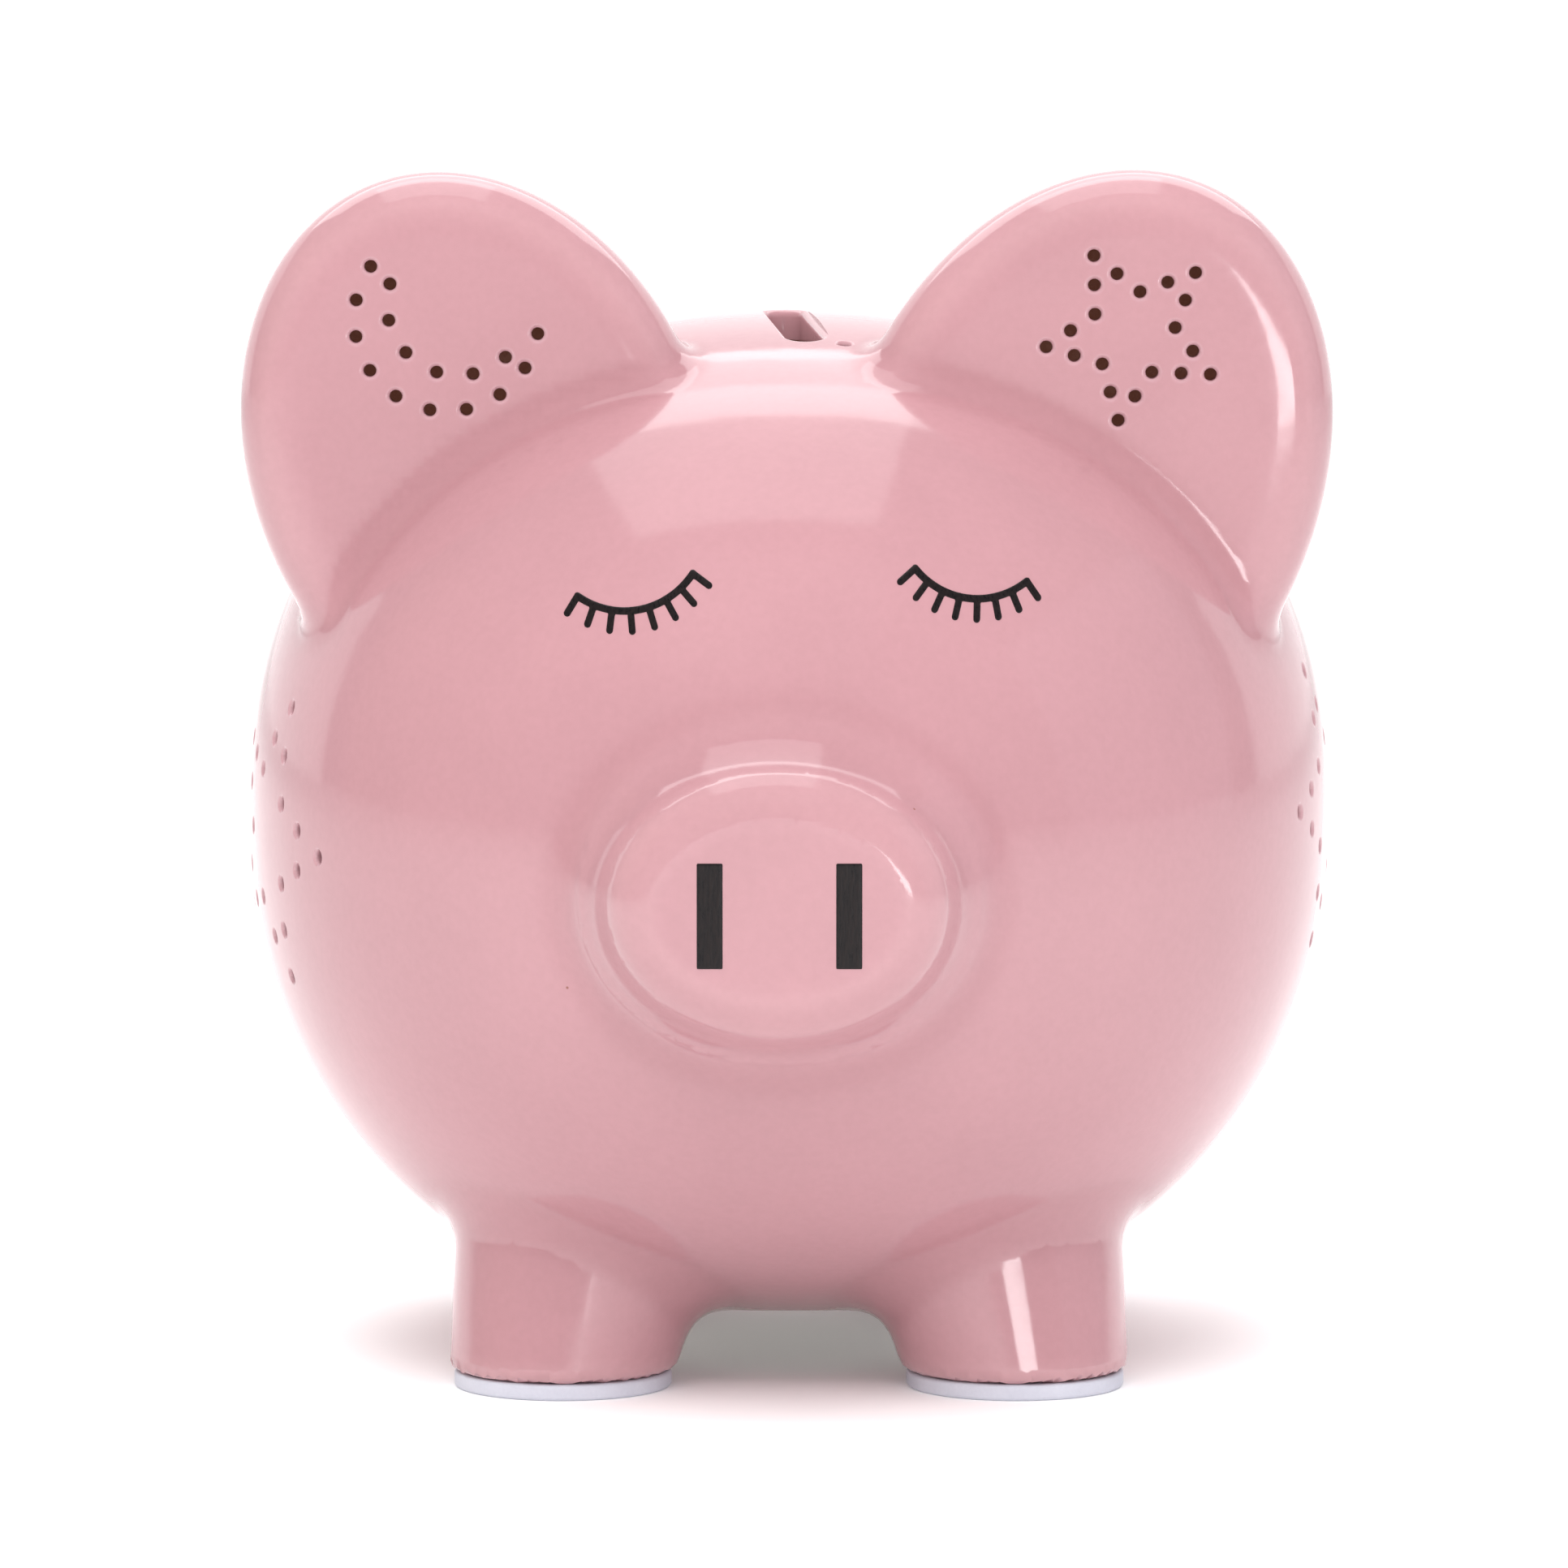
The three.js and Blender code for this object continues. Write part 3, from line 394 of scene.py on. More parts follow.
def new_material(name, colour, roughness, **constants):
    material = bpy.data.materials.new(name)
    material.use_nodes = True
    shader = material.node_tree.nodes["Principled BSDF"]
    shader.inputs["Base Color"].default_value = linear(colour)
    shader.inputs["Roughness"].default_value = roughness
    for key, value in constants.items():
        shader.inputs[key.replace("_", " ")].default_value = value
    return material, material.node_tree, shader


# ---------- Perforations ----------


def star_dots(star):
    """A five-pointed star of dots: its points, its waist and the middle of each edge."""
    corners = []
    for k in range(11):
        radius = star["waist"] if k % 2 else star["radius"]
        turn = math.radians(star["turn"] + 36 * k)
        corners.append(np.array([radius * math.cos(turn), radius * math.sin(turn)]))
    dots = []
    for a, b in zip(corners[:-1], corners[1:]):
        dots += [a, (a + b) / 2]
    return dots


def hole_places():
    """Where the perforations start on the skin, as points in millimetres."""
    places = []
    for arc in MOON:
        for turn in np.radians(np.linspace(arc["start"], arc["end"], arc["count"])):
            x = arc["x"] + arc["radius"] * math.cos(turn)
            places.append([x, -EAR_FRONT, arc["z"] + arc["radius"] * math.sin(turn)])
    for dx, dz in star_dots(EAR_STAR):
        places.append([EAR_STAR["x"] + dx, -EAR_FRONT, EAR_STAR["z"] + dz])
    for star in SIDE_STARS:
        for dy, dz in star_dots(star):
            y, z = star["y"] + dy, star["z"] + dz
            n = BODY_SQUARENESS
            left = 1 - abs(y / BODY_HALF[1]) ** n - abs(z / BODY_HALF[2]) ** n
            places.append([star["side"] * BODY_HALF[0] * left ** (1 / n), y, z])
    places.append([*CROWN_VENT, BODY_HALF[2]])
    ear = EARS[0]
    turn, lean = math.radians(90 + EAR_VENT_TURN), math.radians(ear["lean"])
    across, up = ear["width"] * math.cos(turn), ear["height"] * math.sin(turn)
    x = ear["x"] + across * math.cos(lean) - up * math.sin(lean)
    z = ear["z"] + across * math.sin(lean) + up * math.cos(lean)
    places.append([x, -EAR_FRONT + EAR_VENT_BACK, z])
    return settle(skin_distance, np.array(places) + BODY_MIDDLE, 4)


def perforation_tree():
    """A round-lipped punch at each point, along the point's "inward" direction."""
    tree = bpy.data.node_groups.new("perforations", "GeometryNodeTree")
    sockets = tree.interface
    sockets.new_socket("Geometry", in_out="INPUT", socket_type="NodeSocketGeometry")
    for name in ("Hole radius", "Lip radius", "Depth", "Start"):
        sockets.new_socket(name, in_out="INPUT", socket_type="NodeSocketFloat")
    for name in ("Sides", "Rings"):
        sockets.new_socket(name, in_out="INPUT", socket_type="NodeSocketInt")
    sockets.new_socket("Material", in_out="INPUT", socket_type="NodeSocketMaterial")
    sockets.new_socket("Geometry", in_out="OUTPUT", socket_type="NodeSocketGeometry")
    size = add(tree, "NodeGroupInput").outputs

    def math_node(operation, a, b=0.0):
        return add(tree, "ShaderNodeMath", {0: a, 1: b}, operation=operation).outputs[0]

    def ramp(value, start, end, low, high):
        links = {"Value": value, "From Min": start, "From Max": end, "To Min": low, "To Max": high}
        return add(tree, "ShaderNodeMapRange", links, clamp=True).outputs[0]

    shape = {"Vertices": size["Sides"], "Side Segments": size["Rings"], "Radius": 1.0, "Depth": 1.0}
    punch = add(tree, "GeometryNodeMeshCylinder", shape).outputs["Mesh"]
    position = add(tree, "GeometryNodeInputPosition").outputs[0]
    place = add(tree, "ShaderNodeSeparateXYZ", {0: position}).outputs
    share = math_node("ADD", place["Z"], 0.5)
    first = math_node("DIVIDE", 1.0, size["Rings"])
    last = math_node("SUBTRACT", 1.0, first)
    lip = size["Lip radius"]
    arc = ramp(share, first, last, 0.0, math.pi / 2)
    above = ramp(share, 0.0, first, math_node("MULTIPLY", size["Start"], -1.0), 0.0)
    straight = ramp(share, last, 1.0, 0.0, math_node("SUBTRACT", size["Depth"], lip))
    drop = math_node("MULTIPLY", lip, math_node("SUBTRACT", 1.0, math_node("COSINE", arc)))
    depth = math_node("ADD", math_node("ADD", drop, above), straight)
    flare = math_node("MULTIPLY", lip, math_node("SUBTRACT", 1.0, math_node("SINE", arc)))
    radius = math_node("ADD", size["Hole radius"], flare)
    moved = add(tree, "ShaderNodeCombineXYZ", {
        0: math_node("MULTIPLY", place["X"], radius),
        1: math_node("MULTIPLY", place["Y"], radius),
        2: depth,
    })
    shaped = add(tree, "GeometryNodeSetPosition", {"Geometry": punch, "Position": moved.outputs[0]})
    inward = add(tree, "GeometryNodeInputNamedAttribute", {"Name": "inward"}, data_type="FLOAT_VECTOR")
    facing = add(tree, "FunctionNodeAlignRotationToVector", {"Vector": inward.outputs[0]}, axis="Z")
    placed = add(tree, "GeometryNodeInstanceOnPoints", {
        "Points": size["Geometry"],
        "Instance": shaped.outputs[0],
        "Rotation": facing.outputs[0],
    })
    real = add(tree, "GeometryNodeRealizeInstances", {"Geometry": placed.outputs[0]})
    coated = {"Geometry": real.outputs[0], "Material": size["Material"]}
    glazed = add(tree, "GeometryNodeSetMaterial", coated)
    add(tree, "NodeGroupOutput", {0: glazed.outputs[0]})
    return tree


def with_tree(obj, tree, **values):
    """Puts a Geometry Nodes tree on an object with its inputs set, and makes the result plain."""
    modifier = obj.modifiers.new(tree.name, "NODES")
    modifier.node_group = tree
    for socket in tree.interface.items_tree:
        key = socket.name.replace(" ", "_").lower()
        if socket.in_out == "INPUT" and key in values:
            modifier[socket.identifier] = values[key]
    return made_plain(obj)


def perforation_cutters(places, material):
    points = piece("perforation_points", places, [])
    inward = points.data.attributes.new("inward", "FLOAT_VECTOR", "POINT")
    inward.data.foreach_set("vector", (-normals_of(skin_distance, places)).ravel())
    return with_tree(
        points,
        perforation_tree(),
        hole_radius=HOLE_RADIUS * MM,
        lip_radius=HOLE_LIP * MM,
        depth=HOLE_DEPTH * MM,
        start=1.0 * MM,
        sides=22,
        rings=8,
        material=material,
    )


# ---------- Ceramic shell ----------


def slot_cutter():
    """The coin slot, whose rounded lip follows the crown."""
    steps = 12
    turn = np.concatenate([np.linspace(0, math.pi, steps), np.linspace(math.pi, 2 * math.pi, steps)])
    reach = np.repeat([1.0, -1.0], steps) * (SLOT_LENGTH - SLOT_WIDTH) / 2
    lean = math.radians(SLOT_TURN)
    rings = []
    arc = np.linspace(0, math.pi / 2, 6)
    levels = [(SLOT_LIP, -3.0)]
    levels += [(SLOT_LIP * (1 - math.sin(a)), SLOT_LIP * (1 - math.cos(a))) for a in arc]
    levels.append((0.0, WALL + 4))
    for offset, drop in levels:
        radius = SLOT_WIDTH / 2 + offset
        x, y = radius * np.cos(turn), reach + radius * np.sin(turn)
        across = x * math.cos(lean) - y * math.sin(lean)
        along = x * math.sin(lean) + y * math.cos(lean)
        plan = np.stack([across, along], 1)
        top = np.column_stack([plan + SLOT_MIDDLE, np.full(len(plan), BODY_MIDDLE[2] + BODY_HALF[2])])
        for _ in range(8):
            top[:, 2] -= skin_distance(top)
        top[:, 2] -= drop
        rings.append(top)
    return ring_solid(rings[::-1])


def opening_cutter():
    """The belly opening, with the recess that the light unit's flange sits in."""
    edge = 0.5
    return turned([
        (RECESS_RADIUS + edge, CUT_FROM),
        (RECESS_RADIUS, RECESS_DRAFT_TOP),
        (RECESS_RADIUS, SEAT_Z),
        (OPENING_RADIUS + edge, SEAT_Z),
        (OPENING_RADIUS, SEAT_Z + edge),
        (OPENING_RADIUS, COLLAR_TOP + 3),
    ])


def shade_by_formula(mesh, distance):
    """Corner normals: the formula's own on the skin, and the mesh's by angle elsewhere."""
    mesh.set_sharp_from_angle(angle=math.radians(40))
    points = points_of(mesh) / MM
    on_skin = np.abs(distance(points)) < 0.03
    normal = np.zeros_like(points)
    normal[on_skin] = normals_of(distance, points[on_skin])
    corner = np.empty(len(mesh.loops) * 3)
    mesh.corner_normals.foreach_get("vector", corner)
    corner = corner.reshape(-1, 3)
    vertex = np.empty(len(mesh.loops), int)
    mesh.loops.foreach_get("vertex_index", vertex)
    size = np.empty(len(mesh.polygons), int)
    mesh.polygons.foreach_get("loop_total", size)
    face = np.empty(len(mesh.polygons) * 3)
    mesh.polygons.foreach_get("normal", face)
    facing = np.repeat(face.reshape(-1, 3), size, 0)
    use = on_skin[vertex] & ((normal[vertex] * facing).sum(1) > 0.8)
    corner[use] = normal[vertex][use]
    mesh.normals_split_custom_set(corner.tolist())


def glaze_attributes(mesh, places):
    """How the glaze lies: thick in creases, thin over edges and round the perforations. The same values
    also paint shade into the creases and a highlight onto the edges and hole lips.
    """
    points = points_of(mesh) / MM
    reach = 2.5
    bend = -6 * skin_distance(points)
    for axis in range(3):
        shift = np.zeros(3)
        shift[axis] = reach
        bend += skin_distance(points + shift) + skin_distance(points - shift)
    plain = 0.03  # the bend of the plain body
    # painted shade in creases and painted highlight over convex edges, on top of the glaze's real pooling
    # and thinning
    pooling_and_shade = np.clip(0.5 - 2.0 * (bend / reach**2 - plain), 0, 1)
    away = np.full(len(points), np.inf)
    for place in places:
        away = np.minimum(away, np.linalg.norm(points - place, axis=1))
    # painted highlight round the hole lips, as well as the glaze running thin there
    rim = np.clip(1 - (away - HOLE_RADIUS) / (0.9 * HOLE_LIP), 0, 1)
    for name, value in (("pooled_glaze", pooling_and_shade), ("hole_rim", rim)):
        mesh.attributes.new(name, "FLOAT", "POINT").data.foreach_set("value", value.astype(np.float32))


def ceramic_shell(glaze, bisque):
    low, high = (np.array(corner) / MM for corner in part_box("ceramic_body"))
    room = 2 * SKIN_CELL
    points, quads = net(skin_distance, low - room, high + room, SKIN_CELL)
    hollow_points, hollow_quads = net(hollow_distance, low, high, HOLLOW_CELL, relax=2)
    shell_points = np.concatenate([points, hollow_points])
    shell_quads = np.concatenate([quads, hollow_quads[:, ::-1] + len(points)])
    shell = piece("glazed_pig", shell_points, shell_quads)
    shell.data.materials.append(glaze)
    places = hole_places()
    holes = perforation_cutters(places, glaze)
    solids = [slot_cutter(), opening_cutter()]
    cutter_points = [points_of(holes.data) / MM]
    cutter_faces = [list(f.vertices) for f in holes.data.polygons]
    count = len(cutter_points[0])
    for solid_points, faces in solids:
        cutter_points.append(solid_points)
        cutter_faces += [[v + count for v in face] for face in faces]
        count += len(solid_points)
    cutter = piece("cutters", np.concatenate(cutter_points), cutter_faces)
    cutter.data.materials.append(glaze)
    cut = shell.modifiers.new("openings", "BOOLEAN")
    cut.operation = "DIFFERENCE"
    cut.solver = "MANIFOLD"
    cut.object = cutter
    made_plain(shell)
    discard(cutter)
    discard(holes)
    mesh = shell.data
    mesh.materials.clear()
    mesh.materials.append(glaze)
    mesh.materials.append(bisque)
    middles = np.empty(len(mesh.polygons) * 3)
    mesh.polygons.foreach_get("center", middles)
    depth = skin_distance(middles.reshape(-1, 3) / MM, with_tail=False)
    buried = depth < HOLLOW_SLACK - WALL
    mesh.polygons.foreach_set("material_index", buried.astype(np.int32))
    mesh.shade_smooth()
    glaze_attributes(mesh, places)
    shade_by_formula(mesh, skin_distance)
    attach(shell, "pig")
    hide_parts("ceramic_body")
    return shell


# ---------- Painted features ----------


def stroke_distance(x, z, start, end, width):
    """A round-ended straight stroke."""
    step = np.subtract(end, start)
    share = np.clip(((x - start[0]) * step[0] + (z - start[1]) * step[1]) / (step @ step), 0, 1)
    return np.hypot(x - start[0] - share * step[0], z - start[1] - share * step[1]) - width / 2


def eye_outline(eye):
    """A closed eyelid: an arc with lashes that fan out below it."""
    def at(radius, turn):
        a = math.radians(turn)
        return np.array([eye["x"] + radius * math.sin(a), eye["z"] - radius * math.cos(a)])

    def outline(x, z):
        middle = (eye["start"] + eye["end"]) / 2
        half = math.radians(eye["end"] - eye["start"]) / 2
        turn = np.arctan2(x - eye["x"], eye["z"] - z) - math.radians(middle)
        radius = np.hypot(x - eye["x"], z - eye["z"])
        along = np.clip(turn, -half, half)
        end_x = eye["x"] + eye["radius"] * np.sin(along + math.radians(middle))
        end_z = eye["z"] - eye["radius"] * np.cos(along + math.radians(middle))
        on_arc = np.abs(turn) <= half
        lid = np.where(on_arc, np.abs(radius - eye["radius"]), np.hypot(x - end_x, z - end_z))
        d = lid - LID_STROKE / 2
        for lash in np.linspace(eye["start"], eye["end"], LASHES):
            tip = at(eye["tip"], lash)
            d = np.minimum(d, stroke_distance(x, z, at(eye["radius"], lash), tip, LASH_STROKE))
        return d

    low = [eye["x"] - EYE_REACH, eye["z"] - EYE_REACH]
    high = [eye["x"] + EYE_REACH, eye["z"] - EYE_CLEAR]
    return outline, low, high


def bar_outline(left, right):
    def outline(x, z):
        across = np.abs(x - (left + right) / 2) - (right - left) / 2
        up = np.abs(z - (NOSTRIL_LOW + NOSTRIL_HIGH) / 2) - (NOSTRIL_HIGH - NOSTRIL_LOW) / 2
        return rounded_slab(across, up, 0.12)

    return outline, [left - 1, NOSTRIL_LOW - 1], [right + 1, NOSTRIL_HIGH + 1]


def painted(name, outline, low, high, material, cell=0.24):
    """A coat of enamel over an outline in the front view, laid on the skin."""
    flatten = 4.0  # the coat is meshed thicker than it is, then flattened
    half = PAINT_PROUD * flatten

    def coat(p):
        return rounded_slab(outline(p[:, 0], p[:, 1]), np.abs(p[:, 2]) - half, 0.25)

    points, quads = net(coat, [*low, -half - 2 * cell], [*high, half + 2 * cell], cell, relax=1)
    height = points[:, 2] / flatten
    ahead = 3  # the coat moves onto the skin from this far in front of the snout
    start = np.full(len(points), -BODY_HALF[1] - SNOUT_REACH - ahead)
    skin = np.column_stack([points[:, 0], start, points[:, 1]])
    skin += BODY_MIDDLE
    for _ in range(30):
        skin[:, 1] += np.maximum(skin_distance(skin), 0)
    normal = normals_of(skin_distance, skin)
    laid = skin + normal * height[:, None]
    coat_piece = piece(name, laid, quads[:, ::-1])
    coat_piece.data.materials.append(material)
    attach(coat_piece, "pig")
    return coat_piece


# ---------- Foot pads ----------


def foot_pad(node, rubber):
    """A self-adhesive rubber disc under one foot, with a rounded edge."""
    low, high = (np.array(corner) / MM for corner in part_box(node))
    radius, edge = (high[0] - low[0]) / 2, 0.6
    turn = np.linspace(0, math.pi / 2, 6)
    under = [(radius - edge + edge * math.sin(a), low[2] + edge - edge * math.cos(a)) for a in turn]
    over = [(radius - edge + edge * math.cos(a), high[2] - edge + edge * math.sin(a)) for a in turn]
    points, faces = turned([(radius / 2, low[2]), *under, *over, (radius / 2, high[2])])
    middle = np.array([*(low + high)[:2] / 2, 0])
    pad = piece(f"{node}_rubber", points + middle, faces)
    pad.data.set_sharp_from_angle(angle=math.radians(50))
    pad.data.materials.append(rubber)
    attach(pad, "pig")
    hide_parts(node)


# ---------- Materials ----------


def noise(tree, place, size, detail=3.0, stretch=(1, 1, 1)):
    """Noise whose lumps are about this many millimetres across, and longer where stretched."""
    scale = tuple(1 / (size * MM * s) for s in stretch)
    scaled = add(tree, "ShaderNodeVectorMath", {0: place, 1: scale}, operation="MULTIPLY").outputs[0]
    return add(tree, "ShaderNodeTexNoise", {"Vector": scaled, "Scale": 1.0, "Detail": detail}).outputs[0]


def ranged(tree, value, low, high, start=0.3, end=0.7):
    links = {"Value": value, "From Min": start, "From Max": end, "To Min": low, "To Max": high}
    return add(tree, "ShaderNodeMapRange", links).outputs[0]


def summed(tree, a, b, share):
    """a plus a share of b."""
    return add(tree, "ShaderNodeMath", {0: b, 1: share, 2: a}, operation="MULTIPLY_ADD").outputs[0]


def mixed(tree, share, a, b):
    """A colour from a to b. Each is an sRGB hex or a socket."""
    a, b = (linear(c) if isinstance(c, str) else c for c in (a, b))
    return add(tree, "ShaderNodeMix", {"Factor": share, "A": a, "B": b}, data_type="RGBA").outputs["Result"]


def specks(tree, place, spacing, radius, share):
    """1 on sparse round specks: this many millimetres apart, on this share of the places."""
    links = {"Vector": place, "Scale": 1 / (spacing * MM)}
    cells = add(tree, "ShaderNodeTexVoronoi", links).outputs
    near = ranged(tree, cells["Distance"], 1.0, 0.0, 0.6 * radius / spacing, radius / spacing)
    pick = add(tree, "ShaderNodeSeparateColor", {0: cells["Color"]}).outputs[0]
    kept = add(tree, "ShaderNodeMath", {0: pick, 1: share}, operation="LESS_THAN").outputs[0]
    return add(tree, "ShaderNodeMath", {0: near, 1: kept}, operation="MULTIPLY").outputs[0]


def surface(tree, shader, colour, roughness, height, depth):
    """Plugs in colour and roughness, and a height from 0 to 1 that stands for this depth in mm."""
    tree.links.new(colour, shader.inputs["Base Color"])
    tree.links.new(roughness, shader.inputs["Roughness"])
    bump = add(tree, "ShaderNodeBump", {"Height": height, "Distance": depth * MM, "Strength": 1.0})
    tree.links.new(bump.outputs[0], shader.inputs["Normal"])


def object_place(tree):
    return add(tree, "ShaderNodeTexCoord").outputs["Object"]


def pink_glaze():
    """Glossy lead-free glaze on slip-cast earthenware: a clear, hard shine over a milky pink that
    is paler where it runs thin over edges and deeper where it pools in creases, both also standing
    in for painted highlight and painted shade, with a slight orange peel that softens what it
    mirrors, and a few iron specks that burned through."""
    material, tree, shader = new_material("pink_gloss_glaze", "#B5878F", 0.09, IOR=1.52)
    place = object_place(tree)
    pooling_and_shade = add(tree, "ShaderNodeAttribute", attribute_name="pooled_glaze").outputs["Fac"]
    rim = add(tree, "ShaderNodeAttribute", attribute_name="hole_rim").outputs["Fac"]
    # painted shade and painted highlight: the pooling value darkens the pink in creases and pales it over
    # edges, beside the real pooling of the glaze
    depth = add(tree, "ShaderNodeValToRGB", {0: pooling_and_shade})
    ramp = depth.color_ramp
    ramp.elements[0].color = linear("#BA8E93")
    ramp.elements[1].color = linear("#A9797F")
    middle = ramp.elements.new(0.5)
    middle.color = linear("#B4868C")
    cloud = noise(tree, place, 30)
    mottle = noise(tree, place, 1.3, 2.0)
    drift = summed(tree, ranged(tree, cloud, 0.95, 1.01), ranged(tree, mottle, 0.0, 1.0), 0.035)
    shades = {0: depth.outputs[0], 1: drift}
    toned = add(tree, "ShaderNodeVectorMath", shades, operation="MULTIPLY").outputs[0]
    iron = specks(tree, place, 17, 0.28, 0.12)
    # the paler pink round the perforations is thin glaze on the lips and a painted highlight there
    colour = mixed(tree, rim, mixed(tree, iron, toned, "#8C5A50"), "#C09AA0")
    roughness = summed(tree, ranged(tree, cloud, 0.07, 0.11), mottle, 0.03)
    peel = summed(tree, noise(tree, place, 9, 2.0), iron, -0.4)
    surface(tree, shader, colour, roughness, peel, 0.05)
    return material


def bare_bisque():
    """Unglazed fired earthenware inside the hollow: chalky, off-white, stained by the slip, with
    the pits that casting bubbles leave, painted shade in those pits and a faint painted glow."""
    material, tree, shader = new_material("unglazed_bisque", "#CDB0A6", 0.9)
    place = object_place(tree)
    pits = specks(tree, place, 3.5, 0.4, 0.4)
    stain = ranged(tree, noise(tree, place, 22), 0, 1)
    # painted shade: the pits are coloured darker as well as sunk in the bump
    colour = mixed(tree, pits, mixed(tree, stain, "#D3B5AA", "#BE9C8F"), "#8F6C60")
    grain = summed(tree, noise(tree, place, 0.5), pits, -1.0)
    surface(tree, shader, colour, ranged(tree, stain, 0.85, 0.95, 0, 1), grain, 0.12)
    shader.inputs["Emission Color"].default_value = linear("#A0705F")
    shader.inputs["Emission Strength"].default_value = 0.08  # painted glow: a faint light the bisque gives off itself, standing in for daylight through the wall
    return material


def black_enamel():
    """Overglaze enamel, brushed on and fired: near-black, less glossy than the glaze, with the
    brush's streaks and a brown cast where it lies thin."""
    material, tree, shader = new_material("black_overglaze_enamel", "#171315", 0.3, Specular_IOR_Level=0.2)
    place = object_place(tree)
    streak = noise(tree, place, 0.35, 3.0, (1, 1, 6))
    colour = mixed(tree, ranged(tree, streak, 0, 1), "#131012", "#211A1A")
    thick = summed(tree, streak, noise(tree, place, 2.5), 0.8)
    surface(tree, shader, colour, ranged(tree, streak, 0.25, 0.38), thick, 0.03)
    return material


def moulded(name, light, dark, roughness, grain, depth, speck="", **constants):
    """A moulded finish: its tone and gloss drift over centimetres, its grain is in relief, and
    where a speck colour is given, dust or filler shows as fine specks."""
    material, tree, shader = new_material(name, light, roughness, **constants)
    place = object_place(tree)
    slow = noise(tree, place, 14)
    fine = noise(tree, place, grain, 2.0)
    tone = summed(tree, ranged(tree, slow, 0, 0.8), ranged(tree, fine, 0, 1), 0.2)
    colour = mixed(tree, tone, light, dark)
    if speck:
        colour = mixed(tree, specks(tree, place, 2.2, 0.16, 0.3), colour, speck)
    gloss = summed(tree, ranged(tree, slow, roughness - 0.06, roughness + 0.06), fine, 0.05)
    surface(tree, shader, colour, gloss, fine, depth)
    return material


def circuit_board():
    """Glass-epoxy board under green solder mask, with copper tracks and tinned vias just showing."""
    material, tree, shader = new_material("green_solder_mask", "#1E5A3A", 0.35, Coat_Weight=0.3)
    place = object_place(tree)
    bricks = {
        "Vector": place,
        "Scale": 1 / (5 * MM),
        "Mortar Size": 0.03,
        "Brick Width": 0.9,
        "Row Height": 0.35,
    }
    tracks = add(tree, "ShaderNodeTexBrick", bricks).outputs["Fac"]
    vias = specks(tree, place, 3.2, 0.45, 0.35)
    slow = ranged(tree, noise(tree, place, 9), 0, 1)
    mask = mixed(tree, tracks, mixed(tree, slow, "#1E5A3A", "#184C31"), "#3A7F52")
    colour = mixed(tree, vias, mask, "#B9BDB8")
    height = summed(tree, summed(tree, tracks, vias, 1.0), noise(tree, place, 0.3), 0.15)
    surface(tree, shader, colour, ranged(tree, slow, 0.28, 0.4, 0, 1), height, 0.035)
    return material


def metal(name, clean, tarnished, roughness, stretch):
    """A bright metal with drawn or turned scratches along one way, and tarnish in patches."""
    material, tree, shader = new_material(name, clean, roughness, Metallic=1.0)
    place = object_place(tree)
    scratch = noise(tree, place, 0.22, 3.0, stretch)
    patch = ranged(tree, noise(tree, place, 4.5), 0, 1, 0.45, 0.75)
    tone = summed(tree, patch, ranged(tree, scratch, 0, 1), 0.25)
    gloss = summed(tree, ranged(tree, scratch, roughness - 0.07, roughness + 0.07), patch, 0.12)
    surface(tree, shader, mixed(tree, tone, clean, tarnished), gloss, scratch, 0.012)
    return material


def battery_wrap():
    """Heat-shrunk PVC film round the cells: slate blue with a pale end band, creased by the shrink."""
    material, tree, shader = new_material("shrunk_pvc_wrap", "#3D5675", 0.3)
    place = object_place(tree)
    crease = noise(tree, place, 1.6, 3.0, (1, 5, 1))
    along = add(tree, "ShaderNodeSeparateXYZ", {0: place}).outputs["Y"]
    band = ranged(tree, along, 0, 1, 11.8 * MM, 12.2 * MM)
    body = mixed(tree, ranged(tree, noise(tree, place, 8), 0, 1), "#3D5675", "#33495F")
    rubbed = mixed(tree, specks(tree, place, 2.6, 0.2, 0.25), mixed(tree, band, body, "#C9CDD2"), "#8A97A6")
    surface(tree, shader, rubbed, ranged(tree, crease, 0.24, 0.4), crease, 0.05)
    return material


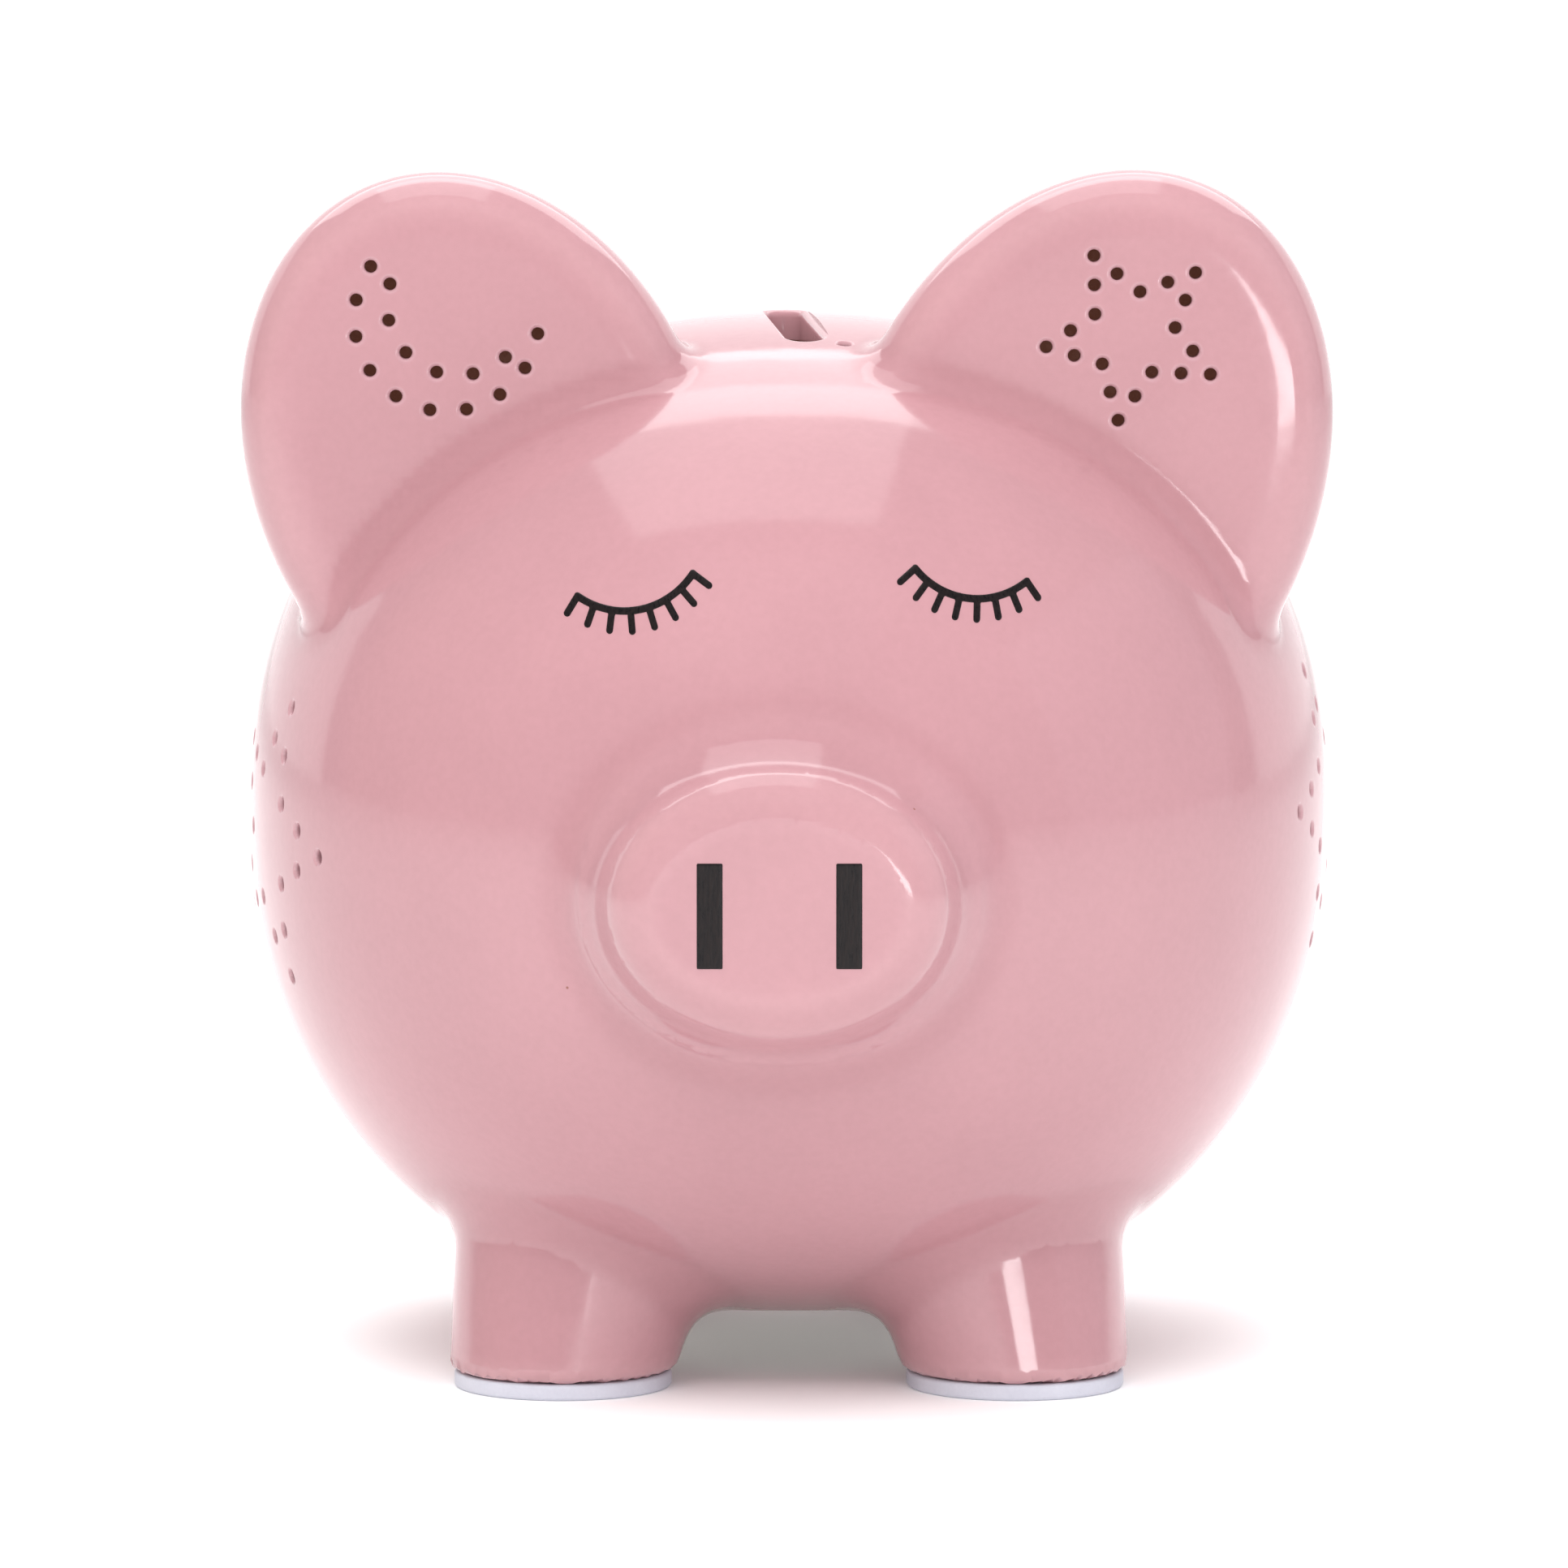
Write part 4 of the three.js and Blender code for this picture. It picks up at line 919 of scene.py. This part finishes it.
def finishes():
    """A material for each of the record's slots that a CAD node shows."""
    return {
        # polypropylene with a fine spark-eroded texture: soft, slightly warm white sheen
        "white_plastic": moulded("satin_white_plastic", "#ECEAE4", "#E0DDD5", 0.42, 0.3, 0.02, "#CFCBC2"),
        # cast rubber, dusty from the shelf: dull, cool grey, and slightly open in the grain
        "pad_rubber": moulded("grey_foot_rubber", "#CFD0DA", "#BFC0CC", 0.62, 0.5, 0.04, "#B7B3C2"),
        # silicone that picks up lint: matte, with pale specks
        "grey_silicone": moulded("matte_silicone", "#85888E", "#777A80", 0.66, 0.7, 0.02, "#B9BABC"),
        # sand-blasted acrylic: lets the LEDs' light through, but blurs it
        "frosted_plastic": moulded(
            "frosted_acrylic", "#F4F1EA", "#ECE7DC", 0.5, 0.25, 0.03, IOR=1.49, Transmission_Weight=0.45
        ),
        # clear epoxy over a yellow phosphor
        "led_lens": moulded(
            "phosphor_epoxy", "#F3E9B8", "#E6D27E", 0.14, 0.6, 0.008, IOR=1.54, Transmission_Weight=0.3
        ),
        # glass-filled nylon and moulding compound: near-black, with grey filler at the surface
        "black_plastic": moulded(
            "black_moulding_compound", "#1D1E21", "#27282B", 0.45, 0.35, 0.02, "#3C3D40"
        ),
        "circuit_board": circuit_board(),
        # drawn aluminium: scratches run along the can's axis
        "can_aluminium": metal("drawn_aluminium", "#CFD1D4", "#A9ABAF", 0.3, (1, 1, 12)),
        # nickel over spring steel, browned where a cell has leaked a little
        "contact_metal": metal("nickelled_spring_steel", "#CFCAC0", "#9C8B72", 0.27, (8, 1, 1)),
        # bright zinc plate, scuffed by the driver
        "screw_steel": metal("zinc_plated_steel", "#C3C7CB", "#8F9296", 0.32, (6, 6, 1)),
        "battery_wrap": battery_wrap(),
    }


# ---------- Studio ----------


CAMERA_AWAY = 1.7  # metres
CAMERA_FALL = 6  # degrees that it looks down by
CAMERA_UP, CAMERA_LEFT = 3.9, 0.75  # shift in its own view, in millimetres


def camera():
    view = math.radians(CAMERA_FALL)
    forward = Vector((0, math.cos(view), -math.sin(view)))
    up = Vector((0, math.sin(view), math.cos(view)))
    lens = bpy.data.cameras.new("camera")
    lens.lens = 253.4
    lens.sensor_width = 36
    lens.clip_end = 100
    obj = bpy.data.objects.new("camera", lens)
    middle = Vector(BODY_MIDDLE) * MM
    shift = CAMERA_UP * MM * up - CAMERA_LEFT * MM * Vector((1, 0, 0))
    obj.location = middle - CAMERA_AWAY * forward + shift
    obj.rotation_euler = forward.to_track_quat("-Z", "Y").to_euler()
    bpy.context.scene.collection.objects.link(obj)
    bpy.context.scene.camera = obj


def softbox(name, place, target, width, height, power, colour="#FFFFFF", mirrored=True):
    light = bpy.data.lights.new(name, "AREA")
    light.shape = "RECTANGLE"
    light.size, light.size_y = width, height
    light.energy = power
    light.color = linear(colour)[:3]
    obj = bpy.data.objects.new(name, light)
    obj.visible_glossy = mirrored
    obj.location = place
    obj.rotation_euler = (Vector(target) - Vector(place)).to_track_quat("-Z", "Y").to_euler()
    bpy.context.scene.collection.objects.link(obj)


WORLD_LIGHT = 0.77  # white tent all round
WORLD_MIRRORED = 0.32  # what the glaze mirrors where nothing white stands


def studio():
    scene = bpy.context.scene
    scene.view_settings.view_transform = "Standard"
    world = bpy.data.worlds.new("studio")
    world.use_nodes = True
    tree = world.node_tree
    mirrored = add(tree, "ShaderNodeLightPath").outputs["Is Glossy Ray"]
    levels = {"Value": mirrored, "To Min": WORLD_LIGHT, "To Max": WORLD_MIRRORED}
    strength = add(tree, "ShaderNodeMapRange", levels).outputs[0]
    tree.links.new(strength, tree.nodes["Background"].inputs["Strength"])
    tree.nodes["Background"].inputs["Color"].default_value = (1, 1, 1, 1)
    scene.world = world
    reach, back, height = 6000.0, 3500.0, 3000.0
    sides = [[-reach, -reach, 0], [reach, -reach, 0], [reach, back, 0], [-reach, back, 0]]
    wall = [[-reach, back, 0], [reach, back, 0], [reach, back, height], [-reach, back, height]]
    for name, corners, glow in (("floor", sides, 0.07), ("backdrop", wall, 0.42)):
        paper, _, shader = new_material(f"white_paper_{name}", "#FBFBFB", 0.9, Emission_Strength=glow)
        shader.inputs["Emission Color"].default_value = linear("#FFFFFF")
        sheet = piece(name, corners, [[0, 1, 2, 3]], smooth=False)
        sheet.data.materials.append(paper)
    aim = (0, 0, 0.1)
    softbox("front_fill", (-0.1, -0.9, 1.35), aim, 0.9, 0.9, 17, mirrored=False)
    softbox("overhead_softbox", (-0.15, 0.35, 1.5), (-0.15, 0.1, 0.1), 0.9, 1.3, 5)
    softbox("rim_panel", (0, 0.85, 1.15), aim, 2.0, 0.7, 10)
    softbox("left_panel", (-1.5, -0.2, 0.6), aim, 1.6, 1.4, 0.7, "#FFD090")
    softbox("right_panel", (1.5, -0.2, 0.6), aim, 1.6, 1.4, 2, "#F6F0FF")
    softbox("low_window", (0.58, -1.95, 0.06), aim, 0.62, 0.24, 5)


# ---------- The object ----------

camera()
studio()
enamel = black_enamel()
ceramic_shell(pink_glaze(), bare_bisque())
finish = finishes()
for side in ("front_left", "front_right", "rear_left", "rear_right"):
    foot_pad(f"foot_pad_{side}", finish["pad_rubber"])
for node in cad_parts.values():
    for slot in node.material_slots:
        slot.material = finish.get(slot.material.name, slot.material)
for side, eye in zip(("left", "right"), EYES):
    painted(f"painted_eye_{side}", *eye_outline(eye), enamel)
for side, (left, right) in zip(("left", "right"), NOSTRILS):
    painted(f"painted_nostril_{side}", *bar_outline(left, right), enamel)
